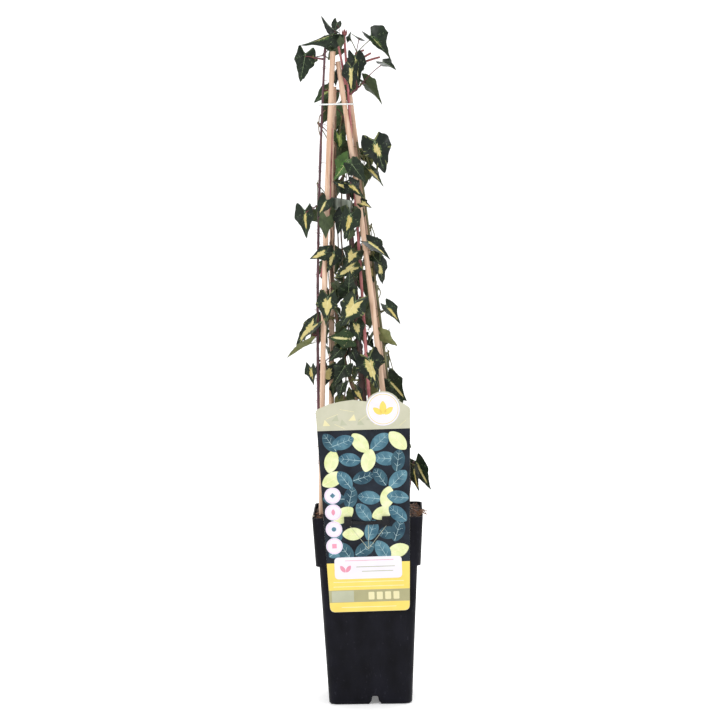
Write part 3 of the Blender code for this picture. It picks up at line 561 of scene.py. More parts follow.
def leaf_axes(leaf):
    """Unit vectors of a blade: along the midrib, across it, and out of its upper face."""
    swing, lean, turn = (math.radians(angle) for angle in (leaf.swing, leaf.lean, leaf.turn))
    outward, right = heading(leaf.azimuth)
    down = np.array((0, 0, -1.0))
    hanging = math.cos(swing) * down + math.sin(swing) * right
    tip = math.cos(lean) * hanging + math.sin(lean) * outward
    face = unit(outward - tip * (outward @ tip))
    side = np.cross(tip, face)
    up = math.cos(turn) * face - math.sin(turn) * side
    return tip, np.cross(tip, up), up


def blade(leaf, margin=0.0):
    """A leaf blade as a thin closed fan about its petiole's end."""
    tip, side, up = leaf_axes(leaf)
    half = list(LEAF_OUTLINE)
    outline = half + [(-angle, share) for angle, share in half[-2:0:-1]]
    angles = np.radians([angle for angle, _ in outline])
    reach = np.array([share for _, share in outline]) * (leaf.length + margin)
    along, across = reach * np.cos(angles), reach * np.sin(angles)
    rise = np.abs(across) * math.tan(math.radians(leaf.fold))
    rise -= LEAF_DROOP * np.maximum(along, 0) ** 2 / leaf.length
    rim = np.array(leaf.at) + np.outer(along, tip) + np.outer(across, side) + np.outer(rise, up)
    half_thick = (LEAF_THICKNESS / 2 + margin) * up
    heart = LEAF_HEART * leaf.length
    centre = np.array([leaf.at]) + heart * tip - LEAF_DROOP * LEAF_HEART * heart * up
    vertices = np.concatenate((centre + half_thick, rim + half_thick, centre - half_thick, rim - half_thick))
    count = len(rim)
    faces = []
    for k in range(count):
        here, after = 1 + k, 1 + (k + 1) % count
        low_here, low_after = here + count + 1, after + count + 1
        faces += [(0, here, after), (count + 1, low_after, low_here), (here, low_here, low_after, after)]
    return vertices, faces


def petiole_points(leaf, start, bulge, steps):
    """The petiole's curve from its twig to the blade, with its end sunk in along the midrib."""
    end = np.array(leaf.at) + leaf_axes(leaf)[0] * PETIOLE_SUNK
    middle = (start + end) / 2 + bulge
    return bezier(start, middle, end + 0.5 * unit(end - middle), steps)


def surface(body):
    """A search tree over a body's faces."""
    vertices, faces = body
    return BVHTree.FromPolygons(np.asarray(vertices).tolist(), faces)


class Crown:
    """Everything that new twigs and leaves must stay clear of."""

    def __init__(self):
        self.trees = []

    def add(self, owner, kind, body):
        """Keep a body that later ones must not touch."""
        self.trees.append((owner, kind, surface(body)))

    def free(self, body, owner=None, passing=()):
        """Whether a body touches nothing, apart from the owner's own pieces of the passing kinds."""
        probe = surface(body)
        for other, kind, tree in self.trees:
            if other == owner and kind in passing:
                continue
            if tree.overlap(probe):
                return False
        return True

    def unseen(self, leaf):
        """Whether a blade keeps behind the front view's outline and clear of its gaps.

        All but two corners lie between the outer canes or behind something.
        """
        shown = 0
        for corner in blade(leaf)[0]:
            if not between_canes(corner):
                shown += not any(tree.ray_cast(corner.tolist(), FRONT)[0] for _, _, tree in self.trees)
        wide = surface(blade(leaf, GAP_MARGIN))
        blocked = any(wide.ray_cast((x, CROWN_REACH, z), FRONT)[0] for x, z in SEEN_GAPS)
        return shown <= 2 and not blocked


def between_canes(point):
    """Whether a point lies between the outer canes, seen from the front and below the tie."""
    left, *right = (
        limb_at(CANES[name], point[2])[0][0]
        for name in ("cane_front_left", "cane_front_right", "cane_back_right")
    )
    return point[2] < TIE_HEIGHT and left < point[0] < max(right)


def bulges(start, end):
    """Ways for a petiole to bow out on its way: up, forwards, back, left and right."""
    length = np.linalg.norm(end - start)
    ways = ((0, 0, 1), (0, -1, 0.3), (0, 1, 0.3), (-1, 0, 0.3), (1, 0, 0.3), (0, 0, -1))
    for share in BULGES:
        for way in ways:
            yield np.array(way) * share * length


def in_space(body):
    """Whether a body stays inside the crown's own space."""
    points = np.asarray(body[0])
    axis_x = np.interp(points[:, 2], (POT_HEIGHT, TIE_HEIGHT), (0, CROWN_SHIFT))
    reach = np.hypot(points[:, 0] - axis_x, points[:, 1])
    low, high = points[:, 2].min(), points[:, 2].max()
    return low > CROWN_FOOT and high < CROWN_TOP and reach.max() < CROWN_REACH


def grow_stem(crown, name, limb, height, aim):
    """The mass's own stem, from just clear of its limb towards the middle of its leaves."""
    place, thick = limb_at(limb, height)
    aside = aim - place
    level = math.degrees(math.atan2(aside[0], -aside[1]))
    reach = max(4.0, TWIG_SHARE * np.linalg.norm(aside))
    for spin in TWIG_SPINS:
        way, _ = heading(level + spin)
        start = place + way * (thick + GAP)
        first = start + way * TWIG_RADIUS * 1.6
        end = first + unit(0.5 * way + unit(aside)) * reach
        middle = (first + end) / 2 + (0, 0, 0.06 * reach)
        points = np.vstack((start, bezier(first, middle, end, 2)))
        radii = TWIG_RADIUS * np.array((1, 1, 0.95, 0.9))
        if crown.free(tube(points[1:], radii[1:] + CLEARANCE, 4)):
            crown.add(name, "stem", tube(points, radii, 4))
            return points
    raise ValueError(f"no room for the stem of {name}")


def hang_leaf(crown, name, leaf, start, nudges=NUDGES):
    """One petiole and blade on a mass's stem, moved forwards or back until both are clear."""
    outward, _ = heading(leaf.azimuth)
    for nudge in nudges:
        moved = leaf._replace(at=tuple(leaf.at + nudge * outward))
        grown = blade(moved, CLEARANCE)
        if not in_space(grown) or not crown.free(grown):
            continue
        for passing in (("stem", "petiole"), ("stem", "petiole", "blade")):
            for bulge in bulges(start, np.array(moved.at)):
                points = petiole_points(moved, start, bulge, 3)
                radii = np.full(len(points), PETIOLE_RADIUS)
                if crown.free(tube(points, radii + CLEARANCE, 3), name, passing):
                    crown.add(name, "petiole", tube(points, radii, 3))
                    crown.add(name, "blade", blade(moved))
                    return [(moved, start, bulge)]
    return []


def stem_places(stem, count):
    """Where the petioles of a mass leave its stem, the last one near the stem's end."""
    for number in range(count):
        share = 0.45 + 0.5 * (number + 1) / count
        yield stem[1] + (stem[-1] - stem[1]) * share


def wild_leaf(pick, place, azimuth):
    """A leaf drawn at random near a place on a limb, looking out along about the azimuth."""
    way = azimuth + pick.uniform(-WILD_SPREAD, WILD_SPREAD)
    outward, _ = heading(way)
    at = place + outward * pick.uniform(*WILD_REACH) + (0, 0, pick.uniform(*WILD_HEIGHT))
    return Leaf(
        tuple(at), pick.uniform(*WILD_LENGTH), pick.uniform(-38, 38), lean=pick.uniform(6, 34),
        turn=pick.uniform(-28, 28), fold=pick.uniform(8, 18), azimuth=way,
    )


def grow_wild(crown, name, wild):
    """A mass of the far side: each leaf takes the first drawn place that is clear and unseen."""
    pick = random.Random(wild.seed)
    place, _ = limb_at(STEMS[wild.limb], wild.height)
    outward, _ = heading(wild.azimuth)
    aim = place + outward * WILD_REACH[1] / 2
    stem = grow_stem(crown, name, STEMS[wild.limb], wild.height, aim)
    leaves = []
    for number, start in enumerate(stem_places(stem, wild.count)):
        for _ in range(WILD_TRIES):
            leaf = wild_leaf(pick, place, wild.azimuth)
            hung = hang_leaf(crown, name, leaf, start, (0,)) if crown.unseen(leaf) else []
            if hung:
                leaves += hung
                break
    return Mass(name, wild.limb, stem, leaves)


def grow_spray(crown, name, spray):
    """A mass of the near side, with its leaves where they are set."""
    aim = np.mean([leaf.at for leaf in spray.leaves], axis=0)
    stem = grow_stem(crown, name, STEMS[spray.limb], spray.height, aim)
    leaves = []
    for leaf, start in zip(spray.leaves, stem_places(stem, len(spray.leaves))):
        leaves += hang_leaf(crown, name, leaf, start)
    return Mass(name, spray.limb, stem, leaves)


def tie_shape(steps, sides):
    """The top tie's loop round canes and stems, and its round section."""
    limbs = {**CANES, **STEMS}
    tied = [limbs[name] for name in (*CANES, "purple_stem", "red_stem")]
    angles = [math.tau * k / sides for k in range(sides)]
    section = [(TIE_RADIUS * math.cos(a), TIE_HEIGHT + TIE_RADIUS * math.sin(a)) for a in angles]
    return hull_loop(TIE_HEIGHT, tied, TIE_RADIUS, steps), section


def band_shape(steps):
    """The middle band's loop round the inner stems, and its flat section."""
    held = [CANES["cane_back_left"], STEMS["main_stem"]]
    low, high = BAND_HEIGHT - BAND_WIDTH / 2, BAND_HEIGHT + BAND_WIDTH / 2
    inner, outer = BAND_SLACK, BAND_SLACK + BAND_THICKNESS
    return hull_loop(BAND_HEIGHT, held, 0, steps), [(inner, low), (outer, low), (outer, high), (inner, high)]


def grow_masses():
    """Every mass in the source's order, each clear of the limbs, the ties, the card and the masses before."""
    crown = Crown()
    for name, limb in {**CANES, **STEMS}.items():
        crown.add(name, "limb", tube(*route(limb), limb.sides))
    crown.add("label_card", "card", card_body(card_outline(), 0, CARD_THICKNESS))
    crown.add("top_tie", "tie", ring_body(*tie_shape(18, 4)))
    crown.add("middle_band", "tie", ring_body(*band_shape(18), BAND_TILT))
    masses = [grow_spray(crown, name, spray) for name, spray in SPRAYS.items()]
    masses += [grow_wild(crown, name, wild) for name, wild in WILD_SPRAYS.items()]
    return crown, masses


def young_leaf(pick, stem, azimuth):
    """A small leaf drawn at random close round a mass's stem, looking out backwards."""
    way = azimuth + pick.uniform(-75, 75)
    outward, _ = heading(way)
    at = stem[-1] + outward * pick.uniform(3, 16) + (0, 0, pick.uniform(-16, 12))
    return Leaf(
        tuple(at), pick.uniform(*YOUNG_LENGTH), pick.uniform(-45, 45), lean=pick.uniform(5, 45),
        turn=pick.uniform(-35, 35), fold=pick.uniform(10, 30), azimuth=way,
        look=pick.choice(("dark", "dark", "green", "strip")),
    )


def grow_young(crown, masses):
    """Finer growth within the same reach: small leaves on each mass's stem, out of the front view."""
    pick = random.Random(7)
    young = []
    for mass in masses:
        leaves = []
        places = list(stem_places(mass.stem, YOUNG_COUNT))
        for start in places:
            for _ in range(YOUNG_TRIES):
                leaf = young_leaf(pick, mass.stem, 180)
                hung = hang_leaf(crown, mass.name, leaf, start, (0,)) if crown.unseen(leaf) else []
                if hung:
                    leaves += hung
                    break
        young.append(Mass(mass.name, mass.limb, mass.stem, leaves))
    for name, leaf in YOUNG_LEADS:
        mass = next(mass for mass in young if mass.name == name)
        mass.leaves.extend(hang_leaf(crown, name, leaf, mass.stem[-1], YOUNG_DEPTHS))
    return young


def lattice_noise(points, size, seed=0):
    """Smooth noise from -1 to 1: hashed values at a lattice's corners, mixed by 3u^2 - 2u^3."""
    place = np.asarray(points, float) / size
    cell = np.floor(place).astype(np.int64)
    u = place - cell
    u = u * u * (3 - 2 * u)
    total = np.zeros(place.shape[:-1])
    for corner in np.ndindex(2, 2, 2):
        key = (cell + corner) @ np.array((73856093, 19349663, 83492791)) + seed * 7919
        key = (key ^ (key >> 13)) * 1274126177 & 0xFFFFFFFF
        value = ((key ^ (key >> 15)) & 0xFFFF) / 32767.5 - 1
        total += value * np.prod(np.where(corner, u, 1 - u), axis=-1)
    return total


def layered_noise(points, size, layers=3, seed=0):
    """Sum of halved noises at halved sizes."""
    return sum(lattice_noise(points, size / 2 ** k, seed + k) / 2 ** k for k in range(layers))


def grid_faces(rows, columns, closed=True):
    """Quads over rows of points; a closed grid joins each row's last point to its first."""
    row = np.arange(rows - 1)[:, None] * columns
    here = np.arange(columns if closed else columns - 1)[None, :]
    after = (here + 1) % columns
    quads = (row + here, row + after, row + columns + after, row + columns + here)
    return np.stack(quads, axis=-1).reshape(-1, 4)


def cap(start, count, centre, flip=False):
    """A fan of triangles from a centre to a ring of points."""
    here = np.arange(count)
    after = (here + 1) % count
    fan = (np.full(count, centre), start + here, start + after)
    return np.stack(fan[::-1] if flip else fan, axis=-1)


def pipe(points, radii, sides, relief=None):
    """A capped tube: path + (r + relief)(cos v across + sin v over) for each path point and angle v."""
    points = np.asarray(points, float)
    along = np.gradient(points, axis=0)
    along /= np.linalg.norm(along, axis=1)[:, None]
    reference = np.eye(3)[np.argmin(np.abs(unit(points[-1] - points[0])))]
    across = np.cross(along, reference)
    across /= np.linalg.norm(across, axis=1)[:, None]
    over = np.cross(along, across)
    angles = math.tau * np.arange(sides) / sides
    ways = np.cos(angles)[:, None] * across[:, None] + np.sin(angles)[:, None] * over[:, None]
    reach = np.broadcast_to(np.asarray(radii, float)[:, None], (len(points), sides))
    if relief is not None:
        reach = reach + relief
    rings = (points[:, None] + reach[..., None] * ways).reshape(-1, 3)
    count = len(points) * sides
    vertices = np.vstack((rings, points[0], points[-1]))
    foot = cap(0, sides, count, flip=True)
    head = cap(count - sides, sides, count + 1)
    return vertices, [grid_faces(len(points), sides), foot, head]


def fine_route(limb, spacing):
    """A limb's centre line and radii at close spacing, with its foot flared as in the solids."""
    coarse = bezier(limb.foot, limb.bend, limb.head, 8)
    length = np.linalg.norm(np.diff(coarse, axis=0), axis=1).sum()
    points = bezier(limb.foot, limb.bend, limb.head, max(12, int(length / spacing)))
    share = np.linspace(0, 1, len(points))
    radii = limb.foot_radius + (limb.head_radius - limb.foot_radius) * share
    rise = points[:, 2] - points[0, 2]
    return points, radii + limb.flare * np.exp(-rise / 5)


def limb_surface(limb, sides, spacing, ridge, knots, seed):
    """A limb with lengthwise ridges, uneven thickness and a swollen ring at each knot."""
    points, radii = fine_route(limb, spacing)
    angles = math.tau * np.arange(sides) / sides
    rise = points[:, 2]
    round_place = np.stack((np.cos(angles), np.sin(angles)), axis=-1) * 4
    place = np.zeros((len(points), sides, 3))
    place[..., :2] = round_place
    place[..., 2] = rise[:, None] / 7
    relief = ridge * layered_noise(place, 2.2, 3, seed)
    place[..., 2] = rise[:, None] / 2
    relief += 0.5 * ridge * layered_noise(place, 1.1, 2, seed + 9)
    swell = 0.12 * radii * lattice_noise(points / (1, 1, 1), 23, seed + 3)
    pick = random.Random(seed)
    height = points[0, 2] + pick.uniform(10, 25)
    while height < points[-1, 2] - 5:
        swell += knots[1] * np.exp(-((rise - height) / 1.3) ** 2)
        height += knots[0] * pick.uniform(0.75, 1.25)
    return pipe(points, radii + np.minimum(swell, 0.4), sides, relief)


def rootlets(limb, count, low, high, seed, length=(1.5, 5)):
    """Short aerial roots in tufts, bent away from a limb."""
    pick = random.Random(seed)
    surfaces = []
    for _ in range(count):
        height = low + (high - low) * pick.random()
        centre, radius = limb_at(limb, height)
        tuft = pick.uniform(0, 360)
        for _ in range(pick.randint(2, 5)):
            outward, right = heading(tuft + pick.uniform(-40, 40))
            start = centre + outward * radius * 0.7 + (0, 0, pick.uniform(-2.5, 2.5))
            reach = pick.uniform(*length)
            end = start + outward * reach + (0, 0, pick.uniform(-0.6, 0.3) * reach)
            middle = (start + end) / 2 + right * pick.uniform(-0.25, 0.25) * reach
            surfaces.append(pipe(bezier(start, middle, end, 4), np.linspace(0.24, 0.1, 5), 3))
    return surfaces


def leaf_edge(pick):
    """The blade's edge in shares of its length: Hermite arcs through lobes and hollows, each leaf's own."""
    half = list(LEAF_OUTLINE)
    corners = half + [(-angle, share) for angle, share in half[-2:0:-1]]
    rounds = (0.3, 0.95, 0.5, 1.0, 0.9, 0.5, 0.9, 1.0, 0.5, 0.95)
    places = []
    for number, (angle, share) in enumerate(corners):
        loose = 0 if number in (0, 5) else 1
        turned = math.radians(angle + loose * pick.uniform(-4, 4))
        reach = share * (1 + loose * pick.uniform(-0.08, 0.06))
        places.append((reach * math.cos(turned), reach * math.sin(turned)))
    places = np.array(places) * (1, pick.uniform(*EDGE_NARROW))
    before, after = np.roll(places, 1, axis=0), np.roll(places, -1, axis=0)
    slopes = (after - before) / 2 * np.array(rounds)[:, None]
    u = (np.arange(EDGE_STEPS) / EDGE_STEPS)[:, None]
    arcs = []
    for k in range(len(places)):
        j = (k + 1) % len(places)
        arcs.append(
            (2 * u ** 3 - 3 * u ** 2 + 1) * places[k] + (u ** 3 - 2 * u ** 2 + u) * slopes[k]
            + (3 * u ** 2 - 2 * u ** 3) * places[j] + (u ** 3 - u ** 2) * slopes[j]
        )
    edge = np.concatenate(arcs)
    ring = np.c_[edge * 2.2, np.full(len(edge), pick.uniform(0, 90))]
    wave = 1 + EDGE_WAVE * (lattice_noise(ring, 0.5, 31) + 0.7 * lattice_noise(ring, 0.22, 32))
    fixed = np.exp(-np.hypot(edge[:, 0], edge[:, 1]) / 0.05)
    heart = np.array((LEAF_HEART, 0.0))
    return heart + (edge - heart) * (wave + (1 - wave) * fixed)[:, None]


def vein_lines(edge):
    """The blade's veins as (from, to, width): five from the petiole to the lobes, and their branches."""
    tips = [edge[k * EDGE_STEPS] for k in (0, 2, 8, 4, 6)]
    lines = [(np.zeros(2), tip * 0.95, 0.016 if k == 0 else 0.011) for k, tip in enumerate(tips)]
    lines = [(a, b * (0.86 if k > 2 else 1), w) for k, (a, b, w) in enumerate(lines)]
    for along, reach in ((0.26, 0.2), (0.42, 0.2), (0.58, 0.15), (0.74, 0.09)):
        for side in (-1, 1):
            start = np.array((along, 0))
            lines.append((start, start + reach * np.array((0.75, side * 0.8)), 0.006))
    for k in (1, 2):
        tip = tips[k]
        aside = np.array((-tip[1], tip[0])) * (1 if k == 1 else -1)
        for share in (0.45, 0.68):
            start = tip * share
            lines.append((start, start + 0.11 * unit(tip + 0.9 * aside), 0.005))
            lines.append((start, start + 0.11 * unit(tip - 0.9 * aside), 0.005))
    return lines


def leaf_rise(flat, leaf, lines, ruffle):
    """How far the blade stands over its plane: soft fold, droop, waved rim and fields puffed up
    between the veins, rise = |across| tan(fold) - droop along^2 + waves + 0.014(1 - exp(-(d/0.045)^2))."""
    along, across = flat[..., 0], flat[..., 1]
    rise = (np.sqrt(across ** 2 + 0.0016) - 0.04) * math.tan(math.radians(leaf.fold))
    rise -= LEAF_DROOP * np.maximum(along, 0) ** 2
    near = np.full(along.shape, 1.0)
    for start, end, width in lines:
        run = end - start
        share = np.clip(((flat - start) @ run) / (run @ run), 0, 1)
        gap = np.linalg.norm(flat - start - share[..., None] * run, axis=-1)
        near = np.minimum(near, gap + (0.016 - width))
    rise += 0.014 * (1 - np.exp(-(near / 0.045) ** 2))
    reach = np.hypot(along - LEAF_HEART, across)
    around = np.arctan2(across, along - LEAF_HEART)
    return rise + ruffle[0] * np.sin(ruffle[1] * around + ruffle[2]) * np.minimum(reach / 0.45, 1.2) ** 2.5


def fan_sheet(low, high, rows):
    """Shares from the heart out at each row and edge point, between two bounds round the blade."""
    return low + (high - low) * np.linspace(0, 1, rows + 1)[:, None]


def leaf_surface(shares, edge, place, flip=False):
    """A sheet over a blade at given shares from the heart to the edge; a closed fan if it starts there."""
    heart = np.array((LEAF_HEART, 0.0))
    rows, count = shares.shape
    flat = heart + shares[..., None] * (edge - heart)
    vertices = place(flat, shares)
    if shares[0].max() > 0:
        faces = [grid_faces(rows, count)]
        vertices = vertices.reshape(-1, 3)
    else:
        vertices = np.vstack((vertices[0, :1], vertices[1:].reshape(-1, 3)))
        faces = [grid_faces(rows - 1, count) + 1, cap(1, count, 0, flip=True)]
    if flip:
        faces = [quads[:, ::-1] for quads in faces]
    return vertices, faces


def gold_share(edge, look, seed):
    """Where the gold zone ends towards each edge point: a jagged strip or heart round the midrib."""
    heart = np.array((LEAF_HEART, 0.0))
    ray = edge - heart
    angle = np.arctan2(ray[:, 1], ray[:, 0])
    ring = np.stack((np.cos(angle), np.sin(angle), np.full(len(angle), seed * 3.7)), axis=-1)
    jag = lattice_noise(ring, 0.9, seed) + 0.5 * lattice_noise(ring, 0.3, seed + 1)
    jag += 0.7 * lattice_noise(ring, 0.11, seed + 2)
    side = (1 + look.bias * np.sign(ray[:, 1])) * random.Random(seed).uniform(0.75, 1.15)
    share = np.minimum(look.width * side / (np.abs(ray[:, 1]) + 0.03), look.cap)
    return np.clip(share * (1 + look.jag * jag), 0.06, 0.97)


def in_gold(places, edge, gold):
    """Whether places on a blade lie in its gold zone, by the edge point that each one looks out to."""
    heart = np.array((LEAF_HEART, 0.0))
    ways, rays = places - heart, edge - heart
    reach = np.linalg.norm(rays, axis=1)
    near = np.argmax(ways @ (rays / reach[:, None]).T, axis=1)
    return np.linalg.norm(ways, axis=1) < gold[near] * reach[near]


def dress_leaf(pieces, leaf, seed):
    """One blade: its gold, middle and dark zones, its underside and its raised veins."""
    pick = random.Random(seed)
    look = LOOKS[leaf.look]
    edge = leaf_edge(pick)
    lines = vein_lines(edge)
    ruffle = (pick.uniform(0.012, 0.034), pick.choice((3, 4, 5)), pick.uniform(0, math.tau))
    tip, side, up = leaf_axes(leaf)
    at = np.array(leaf.at)

    def place(flat, shares, lift=0.0):
        rise = leaf_rise(flat, leaf, lines, ruffle) + lift
        axes = flat[..., :1] * tip + flat[..., 1:] * side + rise[..., None] * up
        return at + leaf.length * axes

    def under(flat, shares):
        return place(flat, shares, -(1 - shares ** 6) * SKIN / leaf.length)

    gold = np.zeros(len(edge))
    if look.cap:
        gold = gold_share(edge, look, seed)
        rim = gold + (1 - gold) * (0.07 + 0.18 * np.abs(lattice_noise(np.c_[edge * 3, edge[:, :1]], 0.4, seed + 5)))
        zones = ((look.gold, 0 * gold, gold, 4), (look.middle, gold, rim, 2), (look.edge, rim, 0 * rim + 1, 3))
    else:
        ones = np.ones(len(edge))
        zones = ((look.edge, 0 * ones, ones, 7),)
    for tints, low, high, rows in zones:
        tint = tints[pick.randrange(len(tints))]
        pieces[tint].append(leaf_surface(fan_sheet(low, high, rows), edge, place))
    below = fan_sheet(np.zeros(len(edge)), np.ones(len(edge)), 3)
    pieces[look.under].append(leaf_surface(below, edge, under, flip=True))
    for start, end, width in lines:
        u = np.linspace(0, 1, 9 if width > 0.008 else 4)[:, None]
        run = end - start
        across = np.array((-run[1], run[0])) / np.linalg.norm(run)
        half = width * (1.15 - u) * across
        middle = start + u * run
        flat = np.stack((middle - half, middle, middle + half), axis=1)
        lift = np.array((-0.004, 0.006, -0.004)) * np.minimum(1, 1.6 - 1.4 * u)
        ribbon = place(flat, None, lift).reshape(-1, 3)
        faces = grid_faces(len(u), 3, closed=False)
        inside = in_gold((middle[1:] + middle[:-1]) / 2, edge, gold).repeat(2)
        for tint, kept in (("gold_vein", inside), (look.veins, ~inside)):
            if kept.any():
                pieces[tint].append((ribbon, [faces[kept]]))


def dress_mass(pieces, mass, seed, thick=1.0):
    """A mass's stem with its buds, and each leaf on its petiole."""
    pick = random.Random(seed)
    wood = "twig_red" if mass.limb in ("red_stem", "crown_stem", "purple_stem") else "twig_green"
    points = np.vstack((mass.stem[:1], bezier(mass.stem[1], mass.stem[2], mass.stem[3], 8)))
    if thick == 1.0:
        radii = TWIG_RADIUS * np.interp(np.arange(len(points)), (0, 1, len(points) - 1), (1.15, 1, 0.7))
        pieces[wood].append(pipe(points, radii, 8))
        bud = bezier(points[-1], points[-1] + (0, 0, 1), points[-1] + (0, 0, 3.2), 5)
        pieces["twig_green"].append(pipe(bud, np.array((0.5, 1.0, 1.15, 0.9, 0.5, 0.1)), 8))
    for number, (leaf, start, bulge) in enumerate(mass.leaves):
        path = petiole_points(leaf, start, bulge, 12)[:-1]
        share = np.linspace(0, 1, len(path))
        radii = PETIOLE_RADIUS * thick * (0.72 + 0.5 * (2 * share - 1) ** 4 - 0.15 * share)
        pieces[wood if pick.random() < 0.75 else "twig_green"].append(pipe(path, radii, 6))
        dress_leaf(pieces, leaf, seed + 37 * number)


def add_piece(name, surfaces, material, smooth=True):
    """One visible piece from surfaces in millimetres: each its points and a list of face arrays."""
    points, corners, sizes = [], [], []
    first = 0
    for vertices, face_sets in surfaces:
        for faces in face_sets:
            corners.append((faces + first).ravel())
            sizes.append(np.full(len(faces), faces.shape[1]))
        points.append(vertices)
        first += len(vertices)
    points = np.concatenate(points) * MM
    corners, sizes = np.concatenate(corners), np.concatenate(sizes)
    used, corners = np.unique(corners, return_inverse=True)
    points = points[used]
    mesh = bpy.data.meshes.new(name)
    mesh.vertices.add(len(points))
    mesh.vertices.foreach_set("co", points.astype(np.float32).ravel())
    mesh.loops.add(len(corners))
    mesh.loops.foreach_set("vertex_index", corners.astype(np.int32))
    mesh.polygons.add(len(sizes))
    mesh.polygons.foreach_set("loop_start", (np.cumsum(sizes) - sizes).astype(np.int32))
    mesh.polygons.foreach_set("use_smooth", np.full(len(sizes), smooth))
    mesh.update(calc_edges=True)
    mesh.validate()
    mesh.materials.append(material)
    piece = bpy.data.objects.new(name, mesh)
    bpy.context.scene.collection.objects.link(piece)
    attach(piece, "root")
    return piece


def cut(target, cutters):
    """Take closed bodies out of a piece, and drop their objects."""
    for cutter in cutters:
        modifier = target.modifiers.new("cut", "BOOLEAN")
        modifier.operation = "DIFFERENCE"
        modifier.object = cutter
    bpy.context.view_layer.update()
    depsgraph = bpy.context.evaluated_depsgraph_get()
    mesh = bpy.data.meshes.new_from_object(target.evaluated_get(depsgraph))
    target.modifiers.clear()
    target.data = mesh
    for cutter in cutters:
        bpy.data.objects.remove(cutter)


def cutter(rings):
    """A closed body to cut with, from rings in millimetres."""
    vertices, faces = stack(rings)
    mesh = bpy.data.meshes.new("cutter")
    mesh.from_pydata((vertices * MM).tolist(), [], faces)
    body = bpy.data.objects.new("cutter", mesh)
    bpy.context.scene.collection.objects.link(body)
    return body


def square_loop(width, radius, count=RING_POINTS):
    """Points evenly spaced round a square with round corners, as (x, y)."""
    inner = width / 2 - radius
    corners = []
    for corner in range(4):
        turn = np.radians(np.linspace(90 * corner, 90 * corner + 90, 13))
        middle = math.radians(90 * corner + 45)
        x = math.copysign(inner, math.cos(middle)) + radius * np.cos(turn)
        y = math.copysign(inner, math.sin(middle)) + radius * np.sin(turn)
        corners.append(np.c_[x, y])
    loop = np.concatenate(corners)
    loop = np.vstack((loop, loop[:1]))
    run = np.r_[0, np.cumsum(np.linalg.norm(np.diff(loop, axis=0), axis=1))]
    even = np.linspace(0, run[-1], count, endpoint=False)
    return np.c_[np.interp(even, run, loop[:, 0]), np.interp(even, run, loop[:, 1])]


def turned_rings(profile):
    """Rows of points round the pot for a profile of (width, height, corner radius)."""
    rows = []
    for width, height, radius in profile:
        loop = square_loop(width, radius)
        rows.append(np.c_[loop, np.full(len(loop), height)])
    return np.array(rows)


def round_edge(width, height, radius, start, end, corner=CORNER_RADIUS, steps=4):
    """Profile points round an edge: an arc of the profile between two angles, in degrees."""
    turns = np.radians(np.linspace(start, end, steps + 1))
    return [(width + 2 * radius * math.cos(a), height + radius * math.sin(a), corner) for a in turns]


